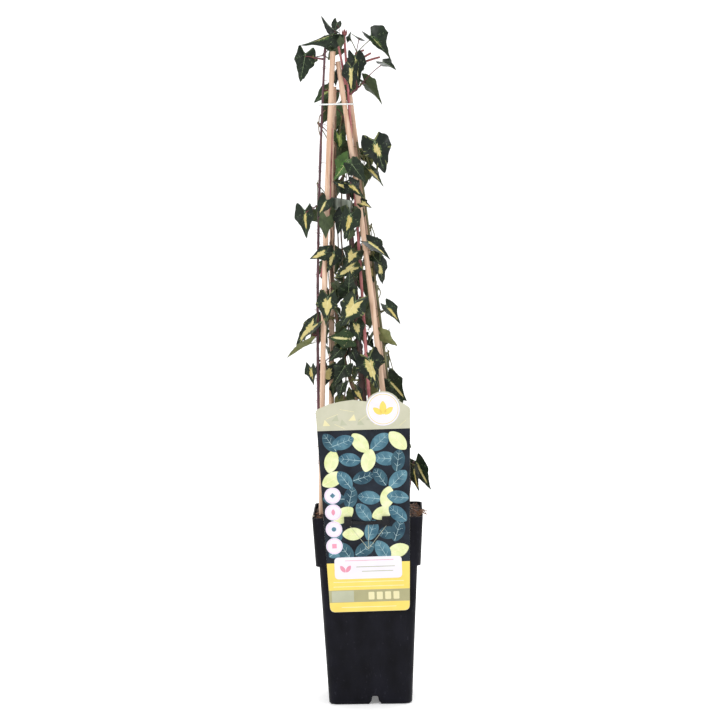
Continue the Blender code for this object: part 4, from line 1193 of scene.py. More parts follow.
def dress_pot(black):
    """The tub: round foot, tapered body, collar, round rim, and the inside down to its floor."""
    soft = 0.6
    hollow = BASE_WIDTH - 2 * FOOT_FILLET - 2 * FOOT_RING
    profile = [(hollow, HOLLOW_HEIGHT, CORNER_RADIUS - 3), (hollow, 0.4, CORNER_RADIUS - 3)]
    profile += [(hollow + 0.5, 0, CORNER_RADIUS - 3)]
    profile += round_edge(BASE_WIDTH - 2 * FOOT_FILLET, FOOT_FILLET, FOOT_FILLET, -90, -6, steps=6)
    profile += [(BODY_TOP_WIDTH, BODY_HEIGHT - 0.4, CORNER_RADIUS)]
    profile += [(BODY_TOP_WIDTH + 0.6, BODY_HEIGHT, CORNER_RADIUS)]
    profile += round_edge(COLLAR_FOOT_WIDTH - 2 * soft, BODY_HEIGHT + soft, soft, -90, -3)
    profile += round_edge(RIM_WIDTH - 2 * soft, POT_HEIGHT - soft, soft, 3, 90)
    profile += round_edge(RIM_WIDTH - 2 * WALL + 2 * soft, POT_HEIGHT - soft, soft, 90, 177)
    profile += [(COLLAR_FOOT_WIDTH - 2 * WALL, BODY_HEIGHT + WALL, CORNER_RADIUS)]
    profile += [(BODY_TOP_WIDTH - 2 * WALL, BODY_HEIGHT + WALL - 0.3, CORNER_RADIUS)]
    profile += [(BASE_WIDTH - 2 * WALL + 1, TUB_FLOOR, CORNER_RADIUS)]
    rows = turned_rings(profile)
    count = RING_POINTS
    vertices = np.vstack((rows.reshape(-1, 3), (0, 0, HOLLOW_HEIGHT), (0, 0, TUB_FLOOR)))
    last = len(vertices)
    foot = cap(0, count, last - 2, flip=True)
    floor = cap(count * (len(rows) - 1), count, last - 1)
    surfaces = [(vertices, [grid_faces(len(rows), count), foot, floor])]
    pot = add_piece("pot_shell", surfaces, black)
    half = [(NOTCH_FOOT / 2, -1), (NOTCH_FOOT / 2 - 0.4, 0.6), (NOTCH_FOOT / 2 - 1.2, 2.0)]
    half += [(NOTCH_TOP / 2 + NOTCH_WAIST + 0.7, 3.4), (NOTCH_TOP / 2 + NOTCH_WAIST, 4.8)]
    half += arc((NOTCH_TOP / 2 - 1.2, NOTCH_HEIGHT - 1.4), 1.4, 5, 90, 5)
    outline = half + [(-x, z) for x, z in half[::-1]]
    cutters = []
    for side in range(4):
        outward, across = heading(90 * side)
        rings = []
        for depth in (BASE_WIDTH / 2 + 4, BASE_WIDTH / 2 - FOOT_FILLET - 2 * FOOT_RING - 1):
            rings.append(np.array([outward * depth + across * (NOTCH_OFFSET + x) + (0, 0, z) for x, z in outline]))
        cutters.append(cutter(rings))
    angles = math.tau * np.arange(32) / 32
    for x, y in ((-1, -1), (1, -1), (1, 1), (-1, 1)):
        circle = np.c_[x * DRAIN_PLACE + DRAIN_RADIUS * np.cos(angles), y * DRAIN_PLACE + DRAIN_RADIUS * np.sin(angles)]
        cutters.append(cutter([np.c_[circle, np.full(32, z)] for z in (HOLLOW_HEIGHT - 1, TUB_FLOOR + 1)]))
    cut(pot, cutters)
    pot.data.set_sharp_from_angle(angle=math.radians(32))
    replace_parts(pot, "pot")


def crumb(pick, place, size, squash=0.7):
    """A rough little lump: a squashed ball of five rows, each point pushed in or out."""
    rows, columns = 5, 7
    polar = np.linspace(0.35, math.pi - 0.35, rows)[:, None]
    around = math.tau * np.arange(columns)[None, :] / columns
    turn = pick.uniform(0, math.tau)
    ball = np.stack((
        np.sin(polar) * np.cos(around + turn) * pick.uniform(0.8, 1.5),
        np.sin(polar) * np.sin(around + turn),
        -np.cos(polar) * squash * np.ones_like(around),
    ), axis=-1)
    ball *= 1 + 0.3 * lattice_noise(ball * 2 + pick.uniform(0, 50), 0.8)[..., None]
    spin = pick.uniform(0, math.tau)
    turned = ball.copy()
    turned[..., 0] = ball[..., 0] * math.cos(spin) - ball[..., 1] * math.sin(spin)
    turned[..., 1] = ball[..., 0] * math.sin(spin) + ball[..., 1] * math.cos(spin)
    vertices = np.array(place) + size * turned.reshape(-1, 3)
    low, high = vertices[:columns].mean(axis=0), vertices[-columns:].mean(axis=0)
    vertices = np.vstack((vertices, low, high))
    count = rows * columns
    foot = cap(0, columns, count, flip=True)
    head = cap(count - columns, columns, count + 1)
    return vertices, [grid_faces(rows, columns), foot, head]


def soil_height(x, y):
    """How high the potting mix lies: a low dome down to the pot's wall, with clods and grains."""
    reach = np.maximum(np.abs(x), np.abs(y))
    widths = (0, SOIL_TOP_WIDTH / 2, SOIL_SHOULDER_WIDTH / 2, RIM_WIDTH / 2 - WALL)
    level = np.interp(reach, widths, (SOIL_TOP, SOIL_TOP, SOIL_SHOULDER, SOIL_EDGE))
    place = np.stack((x, y, 0 * x), axis=-1)
    return level - 0.9 + 1.1 * layered_noise(place, 9, 4, 5) + 0.5 * lattice_noise(place, 1.3, 11)


def dress_soil(tones):
    """The potting mix: a granular top closed by its sides, with crumbs, bark bits, fibres and grit."""
    wide = RIM_WIDTH - 2 * WALL - 2 * GAP - 0.3
    loop = square_loop(wide, CORNER_RADIUS - WALL, 2 * RING_POINTS)
    shares = np.linspace(0.012, 1, 64)[:, None, None]
    top = shares * loop
    high = soil_height(top[..., 0], top[..., 1])
    high[-1] = SOIL_EDGE - 1
    rows = [np.dstack((top, high))]
    for width, height in ((wide - 4, BODY_HEIGHT + 3), (BODY_TOP_WIDTH - 4, BODY_HEIGHT - 2), (BASE_WIDTH - 5, TUB_FLOOR + 1)):
        ring = square_loop(width, CORNER_RADIUS - WALL, 2 * RING_POINTS)
        rows.append(np.c_[ring, np.full(len(ring), height)][None])
    rows = np.concatenate(rows)
    count = 2 * RING_POINTS
    vertices = np.vstack((rows.reshape(-1, 3), (0, 0, high[0].mean()), (0, 0, TUB_FLOOR + 1)))
    faces = grid_faces(len(rows), count)[:, ::-1]
    middle = cap(0, count, len(vertices) - 2)
    under = cap(count * (len(rows) - 1), count, len(vertices) - 1, flip=True)
    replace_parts(add_piece("soil_bed", [(vertices, [faces, middle, under])], tones["soil"]), "potting_soil")
    pick = random.Random(21)
    half = wide / 2 - 2.5
    kinds = {"soil": [], "bark_bit": [], "grit": [], "fibre": []}
    for kind, number, sizes in (("soil", 900, (0.7, 2.0)), ("bark_bit", 260, (0.8, 2.6)), ("grit", 60, (0.4, 0.9))):
        for _ in range(number):
            x, y = pick.uniform(-half, half), pick.uniform(-half, half)
            z = float(soil_height(np.array(x), np.array(y)))
            kinds[kind].append(crumb(pick, (x, y, z + 0.2), pick.uniform(*sizes)))
    for _ in range(240):
        x, y = pick.uniform(-half + 4, half - 4), pick.uniform(-half + 4, half - 4)
        way = np.array((math.cos(pick.uniform(0, math.tau)), math.sin(pick.uniform(0, math.tau)), 0))
        reach = pick.uniform(3, 9)
        ends = []
        for share in (-1, 0, 1):
            at = np.clip(np.array((x, y, 0)) + share * reach * way / 2, -half, half)
            at[2] = float(soil_height(at[0], at[1])) + pick.uniform(0.2, 1.2)
            ends.append(at)
        kinds["fibre"].append(pipe(bezier(ends[0], 2 * ends[1] - (ends[0] + ends[2]) / 2, ends[2], 6), np.full(7, 0.22), 3))
    for _ in range(14):
        y = pick.uniform(-44, -14)
        foot = (pick.uniform(50, 56), y + pick.uniform(-3, 3), SOIL_EDGE + 1)
        over = (pick.uniform(58, 61), y, POT_HEIGHT + pick.uniform(2, 6))
        end = (pick.uniform(60.5, 65.5), y + pick.uniform(-4, 4), POT_HEIGHT + pick.uniform(-4, 2))
        kinds["fibre"].append(pipe(bezier(foot, over, end, 10), np.full(11, 0.3), 4))
    kinds["grit"].append(crumb(pick, (-59.0, -46, POT_HEIGHT + 0.6), 1.3))
    for kind, surfaces in kinds.items():
        add_piece(f"soil_{kind}_pieces", surfaces, tones[kind])


def card_place(x, z):
    """A front-view place, in millimetres of the whole part, as (across, up) on the card."""
    up = z - CARD_FOOT[1]
    return x - CARD_FOOT[0] + up * math.sin(CARD_TURN), up


def round_box(centre, width, height, radius, steps=5):
    """A round-cornered rectangle on the card."""
    x, y = centre
    w, h = width / 2 - radius, height / 2 - radius
    outline = arc((x + w, y + h), radius, 0, 90, steps) + arc((x - w, y + h), radius, 90, 180, steps)
    return outline + arc((x - w, y - h), radius, 180, 270, steps) + arc((x + w, y - h), radius, 270, 360, steps)


def oval(centre, length, width, turn, steps=20, point=0.0):
    """An oval on the card, its ends drawn to a point by a share."""
    a = np.linspace(0, math.tau, steps, endpoint=False)
    along = length / 2 * np.cos(a)
    aside = width / 2 * np.sin(a) * (1 - point * np.abs(np.cos(a)) ** 3)
    turn = math.radians(turn)
    x = centre[0] + along * math.cos(turn) - aside * math.sin(turn)
    y = centre[1] + along * math.sin(turn) + aside * math.cos(turn)
    return list(zip(x.tolist(), y.tolist()))


def printed(outline, level):
    """A thin raised plate on the card's face, its layer's level out from it."""
    return plate(outline, CARD_THICKNESS - 0.05, CARD_THICKNESS + 0.03 + 0.035 * level)


def plate(outline, inner, outer):
    """A closed plate between two distances out from the card's back face."""
    low = np.array([card_point(across, up, inner) for across, up in outline])
    high = np.array([card_point(across, up, outer) for across, up in outline])
    count = len(outline)
    ring = np.arange(count)
    return np.vstack((low, high)), [grid_faces(2, count), ring[None, ::-1], count + ring[None]]


def side_limits(up):
    """Half the card's width at a height up it, less a hair."""
    return np.interp(up, (0, CARD_SHOULDER), (CARD_FOOT_WIDTH / 2, CARD_WIDTH / 2)) - 0.15


def panel(low, high):
    """A panel right across the card between two heights."""
    a, b = side_limits(low), side_limits(high)
    return [(-a, low), (a, low), (b, high), (-b, high)]


def thin_line(start, end, half):
    """A thin bar on the card between two places."""
    start, end = np.array(start), np.array(end)
    way = unit(end - start)
    aside = half * np.array((-way[1], way[0]))
    return [start - aside, end - aside, end + aside, start + aside]


def motif(ink, kind, centre, size, turn, level):
    """One plain printed leaf: an oval drawn to a point, its middle line and three pairs of side lines."""
    ink[kind].append(printed(oval(centre, size, size * 0.6, turn, 28, point=0.35), level))
    line = "rule" if kind == "lime" else "vein"
    way = np.array((math.cos(math.radians(turn)), math.sin(math.radians(turn))))
    aside = np.array((-way[1], way[0]))
    ends = ((-1, -0.28), (1, -0.06), (1, 0.06), (-1, 0.28))
    ink[line].append(printed([centre + way * s * size * 0.46 + aside * o for s, o in ends], level + 0.5))
    for share in (-0.25, 0.02, 0.26):
        root = centre + way * size * share
        for flip in (1, -1):
            twig = root + (way * 0.6 + flip * aside * 0.75) * size * (0.24 - 0.16 * abs(share))
            bar = [root - way * 0.22, root + way * 0.22, twig + way * 0.08, twig - way * 0.08]
            ink[line].append(printed(bar[::flip], level + 0.5))


def dress_label(tones):
    """The card's print: a leafy picture, a yellow panel with a bare white box, plain discs and rules."""
    ink = {name: [] for name in ("night", "teal", "deep_teal", "vein", "lime", "yellow", "white", "lilac", "pink", "rule", "olive", "cream", "fold")}
    card = add_piece("card_plate", [plate(card_outline(PLATE_SHOULDER), 0, CARD_THICKNESS)], tones["card"], smooth=False)
    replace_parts(card, "label_card")
    picture = (159.1 - CARD_FOOT[1], 304.7 - CARD_FOOT[1])
    ink["night"].append(printed(panel(*picture), 0))
    foot = [(-CARD_FOOT_WIDTH / 2 + 0.2, CARD_CORNER), (-CARD_FOOT_WIDTH / 2 + 1.6, 1.6), (-CARD_FOOT_WIDTH / 2 + CARD_CORNER, 0.2)]
    edge = foot + [(-x, up) for x, up in foot[::-1]]
    top = side_limits(picture[0])
    ink["yellow"].append(printed([*edge, (top, picture[0]), (-top, picture[0])], 0))
    pick = random.Random(12)
    for row in range(7):
        for column in range(5):
            up = picture[0] + 14 + row * (picture[1] - picture[0] - 28) / 6 + pick.uniform(-2, 2)
            limit = side_limits(up) - 13
            across = (column - 2) * 20 + (row % 2 - 0.5) * 7 + pick.uniform(-1.5, 1.5)
            across = max(-limit, min(limit, across))
            kind = ("teal", "lime", "deep_teal", "teal", "deep_teal", "lime", "teal")[(row * 3 + column * 2) % 7]
            turn = 30 + 50 * ((row + 2 * column) % 4) + pick.uniform(-14, 14)
            motif(ink, kind, (across, up), pick.uniform(23, 26), turn, 1 + (row * 5 + column) % 4)
    disc = card_place(18.8, 326.5)
    ink["lilac"].append(printed(oval(disc, 36, 36, 0, 64), 1))
    ink["yellow"].append(printed(oval(disc, 33, 33, 0, 64), 2))
    ink["lilac"].append(printed(oval(disc, 31.6, 31.6, 0, 64), 3))
    for aside, rise, length, turn in ((0, 1.5, 15, 90), (-6, -2, 12, 140), (6, -2, 12, 40)):
        ink["yellow"].append(printed(oval((disc[0] + aside, disc[1] + rise), length, length / 2, turn, 28, 0.5), 4))
    for number, (x, z) in enumerate(((-37.1, 233.7), (-36.7, 215.4), (-36.3, 196.8), (-36.1, 178.2))):
        at = card_place(x, z)
        ink["lilac"].append(printed(oval(at, 17.8, 17.8, 0, 48), 5))
        ink["pink"].append(printed(oval(at, 16.0, 16.0, 0, 48), 6))
        ink["lilac"].append(printed(oval(at, 15.4, 15.4, 0, 48), 7))
        sign = (oval(at, 6, 6, 0, 4), oval(at, 7, 4, 90, 20, 0.6), oval(at, 5, 5, 0, 24), oval(at, 7, 7, 45, 4))[number]
        ink["pink" if number % 2 else "teal"].append(printed(sign, 8))
    ink["white"].append(printed(round_box(card_place(0, 153.4), 72.8, 24, 4), 6))
    ink["pink"].append(printed(round_box(card_place(1.2, 161.6), 52.5, 0.6, 0.25, 2), 7))
    for x, turn in ((-27.5, 125), (-21.5, 55)):
        ink["pink"].append(printed(oval(card_place(x, 152.5), 9, 4.5, turn, 24, 0.5), 7))
    for x, z, width in ((8, 154.5, 42), (10, 149.5, 34)):
        ink["fold"].append(printed(round_box(card_place(x, z), width, 0.9, 0.4, 2), 7))
    for z, width in ((138.0, 76.5), (132.9, 76.5), (110.0, 59.5)):
        ink["rule"].append(printed(round_box(card_place(0.2, z), width, 0.6, 0.25, 2), 1))
    ink["olive"].append(printed(panel(10.6, 24.2), 1))
    ink["fold"].append(printed(round_box(card_place(-28, 122.2), 24, 12.4, 0.8), 2))
    for x in (3, 12, 21, 30):
        ink["cream"].append(printed(round_box(card_place(x, 122.2), 6.5, 8.5, 1.0), 2))
    for number in range(7):
        x = -42 + 9.2 * number
        z = 313 + 5 * (number % 2)
        shape = [card_place(x - 4, z - 3), card_place(x + 4, z - 3), card_place(x + (2 if number % 2 else -2), z + 4)]
        ink["fold" if number % 3 else "cream"].append(printed(shape, 0.5))
    for start in (card_place(-19, 200), card_place(1, 204), card_place(21, 200)):
        ink["fold"].append(printed(thin_line(start, card_place(0.6, 174), 0.22), 6))
    for x, z, reach, turn in ((-36, 320, 14, 20), (-20, 326, 16, -12), (-2, 318, 14, 35), (-28, 309, 12, -25), (40, 311, 9, 40)):
        at = np.array(card_place(x, z))
        way = np.array((math.cos(math.radians(turn)), math.sin(math.radians(turn)))) * reach / 2
        ink["cream"].append(printed(thin_line(at - way, at + way, 0.2), 0.8))
    for name, surfaces in ink.items():
        add_piece(f"label_{name}_print", surfaces, tones[name], smooth=False)


def dress_canes(tones):
    """The four canes: straight-grained rods with low joints, cut ends and a pith."""
    for number, (name, limb) in enumerate(CANES.items()):
        surface_ = limb_surface(limb, 40, 1.2, 0.11, (95, 0.34), 40 + number)
        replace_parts(add_piece(f"{name}_rod", [surface_], tones["cane"]), name)
        points, radii = fine_route(limb, 1.2)
        way = unit(points[-1] - points[-2])
        ends = (points[-1] - way * 0.5, points[-1] + way * 0.12)
        add_piece(f"{name}_pith", [pipe(ends, (radii[-1] * 0.45, radii[-1] * 0.4), 20)], tones["pith"])


def dress_stems(tones):
    """The stems with their bark's relief, their aerial roots, the tendril and the cut stubs."""
    kinds = {
        "main_stem": ("bark", "bark", 0.34, (26, 0.35)),
        "brown_stem": ("brown", "brown_bark", 0.16, (34, 0.3)),
        "red_stem": ("red", "red_stem", 0.1, (38, 0.3)),
        "purple_stem": ("purple", "purple_stem", 0.1, (42, 0.25)),
        "rose_stem": ("red", "red_stem", 0.07, (36, 0.22)),
        "leafy_stem": ("green", "green_stem", 0.08, (40, 0.25)),
        "crown_stem": ("red", "red_stem", 0.07, (22, 0.25)),
        "side_shoot": ("purple", "purple_stem", 0.07, (20, 0.25)),
    }
    for number, (name, (tone, slot, ridge, knots)) in enumerate(kinds.items()):
        piece = add_piece(f"{name}_skin", [limb_surface(STEMS[name], 28, 0.7, ridge, knots, 60 + number)], tones[tone])
        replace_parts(piece, name)
    roots = rootlets(STEMS["purple_stem"], 46, 215, 700, 3, (2, 7))
    roots += rootlets(STEMS["red_stem"], 22, 230, 690, 4)
    roots += rootlets(STEMS["main_stem"], 30, 225, 540, 5)
    roots += rootlets(STEMS["brown_stem"], 10, 350, 490, 6, (1, 3))
    add_piece("aerial_roots", roots, tones["root"])
    stubs = []
    for start, end, radius in STUBS:
        middle = (np.array(start) + end) / 2 + (0, 0, 0.6)
        stubs.append(pipe(bezier(start, middle, end, 8), np.linspace(radius * 1.2, radius, 9), 10))
    head = np.array(STEMS["red_stem"].head)
    tip = bezier(head - (0, 0, 1), head + (0.4, 0, 3), head + (0.2, 0, 7), 8)
    stubs.append(pipe(tip, np.array((1.2, 1.6, 2.1, 2.3, 2.1, 1.8, 1.3, 0.8, 0.2)), 10))
    for turn in (20, 140, 260):
        way = np.array((math.cos(math.radians(turn)), math.sin(math.radians(turn)), 0))
        scale = bezier(head + way, head + 3.2 * way + (0, 0, 2.5), head + 2.6 * way + (0, 0, 6.5), 6)
        stubs.append(pipe(scale, np.array((0.9, 1.1, 1.0, 0.8, 0.6, 0.4, 0.1)), 8))
    add_piece("crown_stubs", stubs, tones["stub"])
    wisps = []
    for foot, bend, head, radius in WISPS:
        path = bezier(foot, bend, head, 60)
        sway = lattice_noise(path, 17, 71)[:, None] * (1.4, 0.9, 0)
        wisps.append(pipe(path + sway, radius * (1 + 0.2 * lattice_noise(path, 5, 72)), 10))
    curl = np.array(TENDRIL, float)
    share = np.linspace(0, len(curl) - 1, 60)
    smooth = np.stack([np.interp(share, range(len(curl)), curl[:, k]) for k in range(3)], axis=1)
    for _ in range(6):
        smooth[1:-1] = (smooth[:-2] + 2 * smooth[1:-1] + smooth[2:]) / 4
    wisps.append(pipe(smooth, np.linspace(0.65, 0.4, 60), 8))
    add_piece("thin_twigs", wisps, tones["brown"])


def dress_ties(tones):
    """The clear tie, doubled round the cane tops, and the glossy middle band."""
    loop, _ = tie_shape(96, 4)
    turns = np.radians(np.arange(0, 360, 30))
    rings = []
    for lift in (-0.45, 0.45):
        section = [(0.4 * math.cos(a), TIE_HEIGHT + lift + 0.4 * math.sin(a)) for a in turns]
        vertices, faces = ring_body(loop, section)
        rings.append((vertices, [np.array(faces)]))
    add_piece_ = add_piece("tie_loops", rings, tones["tie"])
    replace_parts(add_piece_, "top_tie")
    loop, _ = band_shape(96)
    half = BAND_WIDTH / 2
    inner, outer = BAND_SLACK, BAND_SLACK + BAND_THICKNESS
    section = [(inner, BAND_HEIGHT - half)]
    section += [(outer + 0.25 * math.sin(math.pi * k / 8), BAND_HEIGHT - half + k / 8 * BAND_WIDTH) for k in range(9)]
    section += [(inner, BAND_HEIGHT + half)]
    vertices, faces = ring_body(loop, section, BAND_TILT)
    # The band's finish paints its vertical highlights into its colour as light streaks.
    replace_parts(add_piece("band_strip", [(vertices, [np.array(faces)])], tones["band"]), "middle_band")


def dress_leaves(tones):
    """All masses: twigs, petioles, zones of the blades, undersides and veins, each kind joined."""
    crown, masses = grow_masses()
    young = grow_young(crown, masses)
    pieces = {name: [] for name in LEAF_TONES}
    for number, mass in enumerate(masses):
        if mass.name in WILD_SPRAYS:
            pick = random.Random(number)
            leaves = [(leaf._replace(look=pick.choice(WILD_LOOKS)), start, bulge) for leaf, start, bulge in mass.leaves]
            mass = mass._replace(leaves=leaves)
        dress_mass(pieces, mass, 100 * number + 5)
    for number, mass in enumerate(young):
        dress_mass(pieces, mass, 100 * number + 61, thick=0.55)
    grown = {name: surfaces for name, surfaces in pieces.items() if surfaces}
    hides = [*SPRAYS, *WILD_SPRAYS]
    for name, surfaces in grown.items():
        piece = add_piece(f"foliage_{name}", surfaces, tones[name])
        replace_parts(piece, *hides)
        hides = hides[:1]


def linear(colour):
    """A colour given as on screen, 0 to 255, as the linear light a shader takes."""
    share = np.array(colour) / 255
    light = np.where(share <= 0.04045, share / 12.92, ((share + 0.055) / 1.055) ** 2.4)
    return (*light.tolist(), 1.0)


def grain_group():
    """The shared grain: Object coordinates stretched and read by noise, as a mask and a fine height."""
    group = bpy.data.node_groups.new("grain", "ShaderNodeTree")
    stretch = group.interface.new_socket("Stretch", in_out="INPUT", socket_type="NodeSocketVector")
    stretch.default_value = (1, 1, 1)
    size = group.interface.new_socket("Scale", in_out="INPUT", socket_type="NodeSocketFloat")
    size.default_value = 300
    group.interface.new_socket("Mask", in_out="OUTPUT", socket_type="NodeSocketFloat")
    group.interface.new_socket("Fine", in_out="OUTPUT", socket_type="NodeSocketFloat")
    nodes, links = group.nodes, group.links
    given, out = nodes.new("NodeGroupInput"), nodes.new("NodeGroupOutput")
    place = nodes.new("ShaderNodeTexCoord")
    spread = nodes.new("ShaderNodeVectorMath")
    spread.operation = "MULTIPLY"
    broad, fine = nodes.new("ShaderNodeTexNoise"), nodes.new("ShaderNodeTexNoise")
    finer = nodes.new("ShaderNodeMath")
    finer.operation = "MULTIPLY"
    finer.inputs[1].default_value = 4.5
    keep = nodes.new("ShaderNodeMapRange")
    keep.inputs["From Min"].default_value = 0.32
    keep.inputs["From Max"].default_value = 0.68
    broad.inputs["Detail"].default_value = 5
    fine.inputs["Detail"].default_value = 3
    links.new(place.outputs["Object"], spread.inputs[0])
    links.new(given.outputs["Stretch"], spread.inputs[1])
    links.new(given.outputs["Scale"], finer.inputs[0])
    links.new(given.outputs["Scale"], broad.inputs["Scale"])
    links.new(finer.outputs[0], fine.inputs["Scale"])
    links.new(spread.outputs[0], broad.inputs["Vector"])
    links.new(spread.outputs[0], fine.inputs["Vector"])
    links.new(broad.outputs[0], keep.inputs["Value"])
    links.new(keep.outputs[0], out.inputs["Mask"])
    links.new(fine.outputs[0], out.inputs["Fine"])
    return group


def finish(grain, name, light, dark, roughness, scale=300, stretch=(1, 1, 1), bump=0.1, coat=0.0, spread=0.06, shine=0.5):
    """A material whose colour and gloss drift between two values, with a fine raised grain."""
    made = bpy.data.materials.new(name)
    made.use_nodes = True
    nodes, links = made.node_tree.nodes, made.node_tree.links
    shader = nodes["Principled BSDF"]
    pattern = nodes.new("ShaderNodeGroup")
    pattern.node_tree = grain
    pattern.inputs["Stretch"].default_value = stretch
    pattern.inputs["Scale"].default_value = scale
    mix = nodes.new("ShaderNodeMix")
    mix.data_type = "RGBA"
    mix.inputs[6].default_value = linear(dark)
    mix.inputs[7].default_value = linear(light)
    gloss = nodes.new("ShaderNodeMapRange")
    gloss.inputs["To Min"].default_value = roughness + spread
    gloss.inputs["To Max"].default_value = roughness - spread
    relief = nodes.new("ShaderNodeBump")
    relief.inputs["Strength"].default_value = bump
    relief.inputs["Distance"].default_value = 0.0004
    links.new(pattern.outputs["Mask"], mix.inputs[0])
    links.new(pattern.outputs["Mask"], gloss.inputs["Value"])
    links.new(pattern.outputs["Fine"], relief.inputs["Height"])
    links.new(mix.outputs[2], shader.inputs["Base Color"])
    links.new(gloss.outputs[0], shader.inputs["Roughness"])
    links.new(relief.outputs[0], shader.inputs["Normal"])
    shader.inputs["Coat Weight"].default_value = coat
    shader.inputs["Specular IOR Level"].default_value = shine
    return made


def scuffed(made, grain, dust):
    """The same finish with small dusty scuffs: a fine grain's peaks mixed in towards the dust colour."""
    nodes, links = made.node_tree.nodes, made.node_tree.links
    shader = nodes["Principled BSDF"]
    before = shader.inputs["Base Color"].links[0].from_socket
    pattern = nodes.new("ShaderNodeGroup")
    pattern.node_tree = grain
    pattern.inputs["Stretch"].default_value = (1, 1, 0.45)
    pattern.inputs["Scale"].default_value = 420
    peaks = nodes.new("ShaderNodeMapRange")
    peaks.inputs["From Min"].default_value = 0.92
    peaks.inputs["From Max"].default_value = 1.45
    mix = nodes.new("ShaderNodeMix")
    mix.data_type = "RGBA"
    mix.inputs[7].default_value = linear(dust)
    links.new(pattern.outputs["Mask"], peaks.inputs["Value"])
    links.new(peaks.outputs[0], mix.inputs[0])
    links.new(before, mix.inputs[6])
    links.new(mix.outputs[2], shader.inputs["Base Color"])
    return made


def make_tones():
    """Every finish by name."""
    grain = grain_group()
    tones = {
        "pot": scuffed(finish(
            grain, "pot_black", (18, 18, 26), (9, 9, 14), 0.42, 60, (1, 1, 0.5), 0.25, spread=0.12, shine=0.09,
        ), grain, (66, 66, 76)),
        "soil": finish(grain, "soil", (74, 52, 42), (34, 24, 20), 0.9, 500, bump=0.6),
        "bark_bit": finish(grain, "bark_bit", (124, 84, 62), (72, 46, 34), 0.85, 700, bump=0.5),
        "grit": finish(grain, "grit", (222, 214, 200), (180, 170, 154), 0.8, 900, bump=0.4),
        "fibre": finish(grain, "fibre", (150, 112, 84), (96, 66, 48), 0.8, 700),
        "cane": finish(grain, "cane", (218, 190, 168), (184, 146, 118), 0.62, 260, (1, 1, 0.06), 0.3),
        "pith": finish(grain, "pith", (206, 170, 130), (160, 122, 88), 0.8, 900, bump=0.4),
        # The main stem's near-black tone is partly the bark's own dark colour and partly painted shade, darkened to how
        # it looks in the shadow between the canes.
        "bark": finish(grain, "bark", (84, 56, 50), (26, 20, 22), 0.7, 420, (1, 1, 0.22), 0.7),
        "brown": finish(grain, "brown_bark", (134, 106, 84), (86, 66, 54), 0.7, 420, (1, 1, 0.25), 0.6),
        "red": finish(grain, "red_stem", (194, 122, 120), (142, 72, 80), 0.48, 380, (1, 1, 0.2), 0.3),
        "purple": finish(grain, "purple_stem", (98, 58, 66), (60, 36, 44), 0.5, 380, (1, 1, 0.2), 0.3),
        "green": finish(grain, "green_stem", (112, 112, 72), (82, 72, 52), 0.5, 380, (1, 1, 0.2), 0.3),
        "stub": finish(grain, "cut_stub", (150, 82, 80), (100, 50, 52), 0.6, 500, bump=0.4),
        "root": finish(grain, "aerial_root", (150, 108, 80), (96, 64, 50), 0.75, 800),
        "tie": finish(grain, "clear_tie", (236, 238, 236), (216, 220, 220), 0.18, 300, coat=0.6, bump=0.05),
        # The band's lighter vertical streaks, drawn out by the stretched grain, are painted highlights in its colour.
        "band": finish(grain, "green_band", (150, 158, 146), (58, 68, 58), 0.16, 190, (1, 1, 0.06), 0.05, coat=0.8),
        "card": finish(grain, "label_card", (184, 182, 161), (176, 175, 152), 0.38, 60, bump=0.02),
        "clip": finish(grain, "clip_black", (24, 24, 28), (14, 14, 17), 0.35, 500, bump=0.1, shine=0.2),
        "night": finish(grain, "print_night", (30, 38, 48), (14, 16, 24), 0.35, 60, bump=0.02, shine=0.15),
        "teal": finish(grain, "print_teal", (88, 128, 142), (44, 82, 100), 0.35, 90, bump=0.02, shine=0.2),
        "deep_teal": finish(grain, "print_deep_teal", (58, 92, 104), (28, 56, 72), 0.35, 90, bump=0.02, shine=0.2),
        "vein": finish(grain, "print_vein", (164, 190, 192), (150, 178, 182), 0.35, 200, bump=0.02),
        "lime": finish(grain, "print_lime", (214, 218, 176), (194, 202, 140), 0.35, 120, bump=0.02),
        "yellow": finish(grain, "print_yellow", (225, 198, 94), (220, 192, 88), 0.35, 60, bump=0.02),
        "white": finish(grain, "print_white", (217, 213, 222), (213, 209, 219), 0.35, 60, bump=0.02),
        "lilac": finish(grain, "print_lilac", (216, 212, 228), (211, 207, 223), 0.35, 60, bump=0.02),
        "pink": finish(grain, "print_pink", (214, 140, 160), (206, 132, 152), 0.35, 60, bump=0.02),
        "rule": finish(grain, "print_rule", (228, 218, 180), (224, 212, 170), 0.35, 60, bump=0.02),
        "olive": finish(grain, "print_olive", (158, 154, 114), (150, 146, 106), 0.35, 60, bump=0.02),
        "cream": finish(grain, "print_cream", (214, 206, 164), (208, 200, 154), 0.35, 60, bump=0.02),
        "fold": finish(grain, "print_fold", (170, 172, 148), (162, 164, 140), 0.35, 60, bump=0.02),
    }
    for name, (light, dark, roughness) in LEAF_TONES.items():
        tones[f"leaf_{name}"] = finish(grain, f"leaf_{name}", light, dark, roughness, 220, bump=0.12, shine=0.22)
    return tones


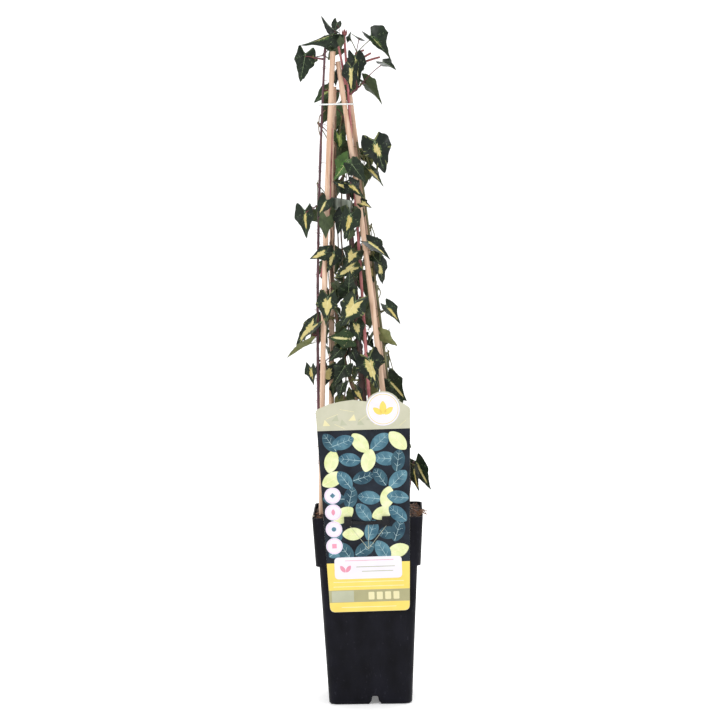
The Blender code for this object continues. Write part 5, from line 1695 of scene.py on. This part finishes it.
def make_stage(tones):
    """A pale floor that curves up into a wall behind, soft lights and a pale sky."""
    y = np.concatenate(([-9.0, 4.5], 4.5 + np.sin(np.radians(np.linspace(6, 90, 15))), [5.5]))
    z = np.concatenate(([0.0], [0.0], 1 - np.cos(np.radians(np.linspace(6, 90, 15))), [9.0]))
    rows = np.array([[(x, b, c) for x in (-9.0, 9.0)] for b, c in zip(y, z)])
    mesh = bpy.data.meshes.new("backdrop")
    mesh.from_pydata(rows.reshape(-1, 3).tolist(), [], grid_faces(len(rows), 2, closed=False)[:, ::-1].tolist())
    mesh.polygons.foreach_set("use_smooth", [True] * len(mesh.polygons))
    mesh.materials.append(tones["backdrop"])
    backdrop = bpy.data.objects.new("backdrop", mesh)
    bpy.context.scene.collection.objects.link(backdrop)
    for name, place, power, size in (
        ("key", (-1.3, -1.9, 1.9), 22, 1.0), ("fill", (1.8, -1.6, 1.0), 7, 1.4), ("back", (0.4, 1.0, 2.2), 26, 1.4),
    ):
        lamp = bpy.data.lights.new(name, "AREA")
        lamp.energy = power
        lamp.size = size
        light = bpy.data.objects.new(name, lamp)
        aim = np.array((0, 0, 0.4)) - place
        light.location = place
        light.rotation_euler = (math.atan2(math.hypot(aim[0], aim[1]), -aim[2]), 0, math.atan2(-aim[0], aim[1]))
        bpy.context.scene.collection.objects.link(light)
    world = bpy.data.worlds.new("sky")
    world.use_nodes = True
    world.node_tree.nodes["Background"].inputs[0].default_value = (1, 1, 1, 1)
    world.node_tree.nodes["Background"].inputs[1].default_value = 0.95
    bpy.context.scene.world = world
    bpy.context.scene.view_settings.view_transform = "Standard"


def make_camera():
    """A long lens a little above the plant's middle, rolled by one degree."""
    lens = bpy.data.cameras.new("camera")
    lens.lens = 132.3
    lens.sensor_width = 36
    lens.clip_end = 30
    rise, yaw, roll = (math.radians(angle) for angle in (5.15, 0.88, 0.985))
    back = np.array((math.sin(yaw) * math.cos(rise), -math.cos(yaw) * math.cos(rise), math.sin(rise)))
    right = np.array((math.cos(yaw), math.sin(yaw), 0))
    up = np.cross(back, right)
    frame_ = np.eye(4)
    frame_[:3, 0] = right * math.cos(roll) - up * math.sin(roll)
    frame_[:3, 1] = up * math.cos(roll) + right * math.sin(roll)
    frame_[:3, 2] = back
    frame_[:3, 3] = (0.0384, -2.888, 0.6339)
    camera = bpy.data.objects.new("camera", lens)
    camera.matrix_world = Matrix(frame_.tolist())
    bpy.context.scene.collection.objects.link(camera)
    bpy.context.scene.camera = camera


def main():
    """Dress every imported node, light it and point the camera."""
    tones = make_tones()
    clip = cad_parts["label_clip"]
    clip.data.materials.clear()
    clip.data.materials.append(tones["clip"])
    dress_pot(tones["pot"])
    dress_soil(tones)
    dress_canes(tones)
    dress_stems(tones)
    dress_ties(tones)
    dress_label({**tones, "teal": tones["teal"]})
    dress_leaves({name: tones[f"leaf_{name}"] for name in LEAF_TONES})
    make_stage({"backdrop": backdrop_finish()})
    make_camera()


def backdrop_finish():
    """The stage's plain pale finish."""
    made = bpy.data.materials.new("backdrop")
    made.use_nodes = True
    shader = made.node_tree.nodes["Principled BSDF"]
    shader.inputs["Base Color"].default_value = (0.95, 0.95, 0.95, 1)
    shader.inputs["Roughness"].default_value = 0.9
    shader.inputs["Emission Color"].default_value = (1, 1, 1, 1)
    shader.inputs["Emission Strength"].default_value = 0.2
    return made


main()
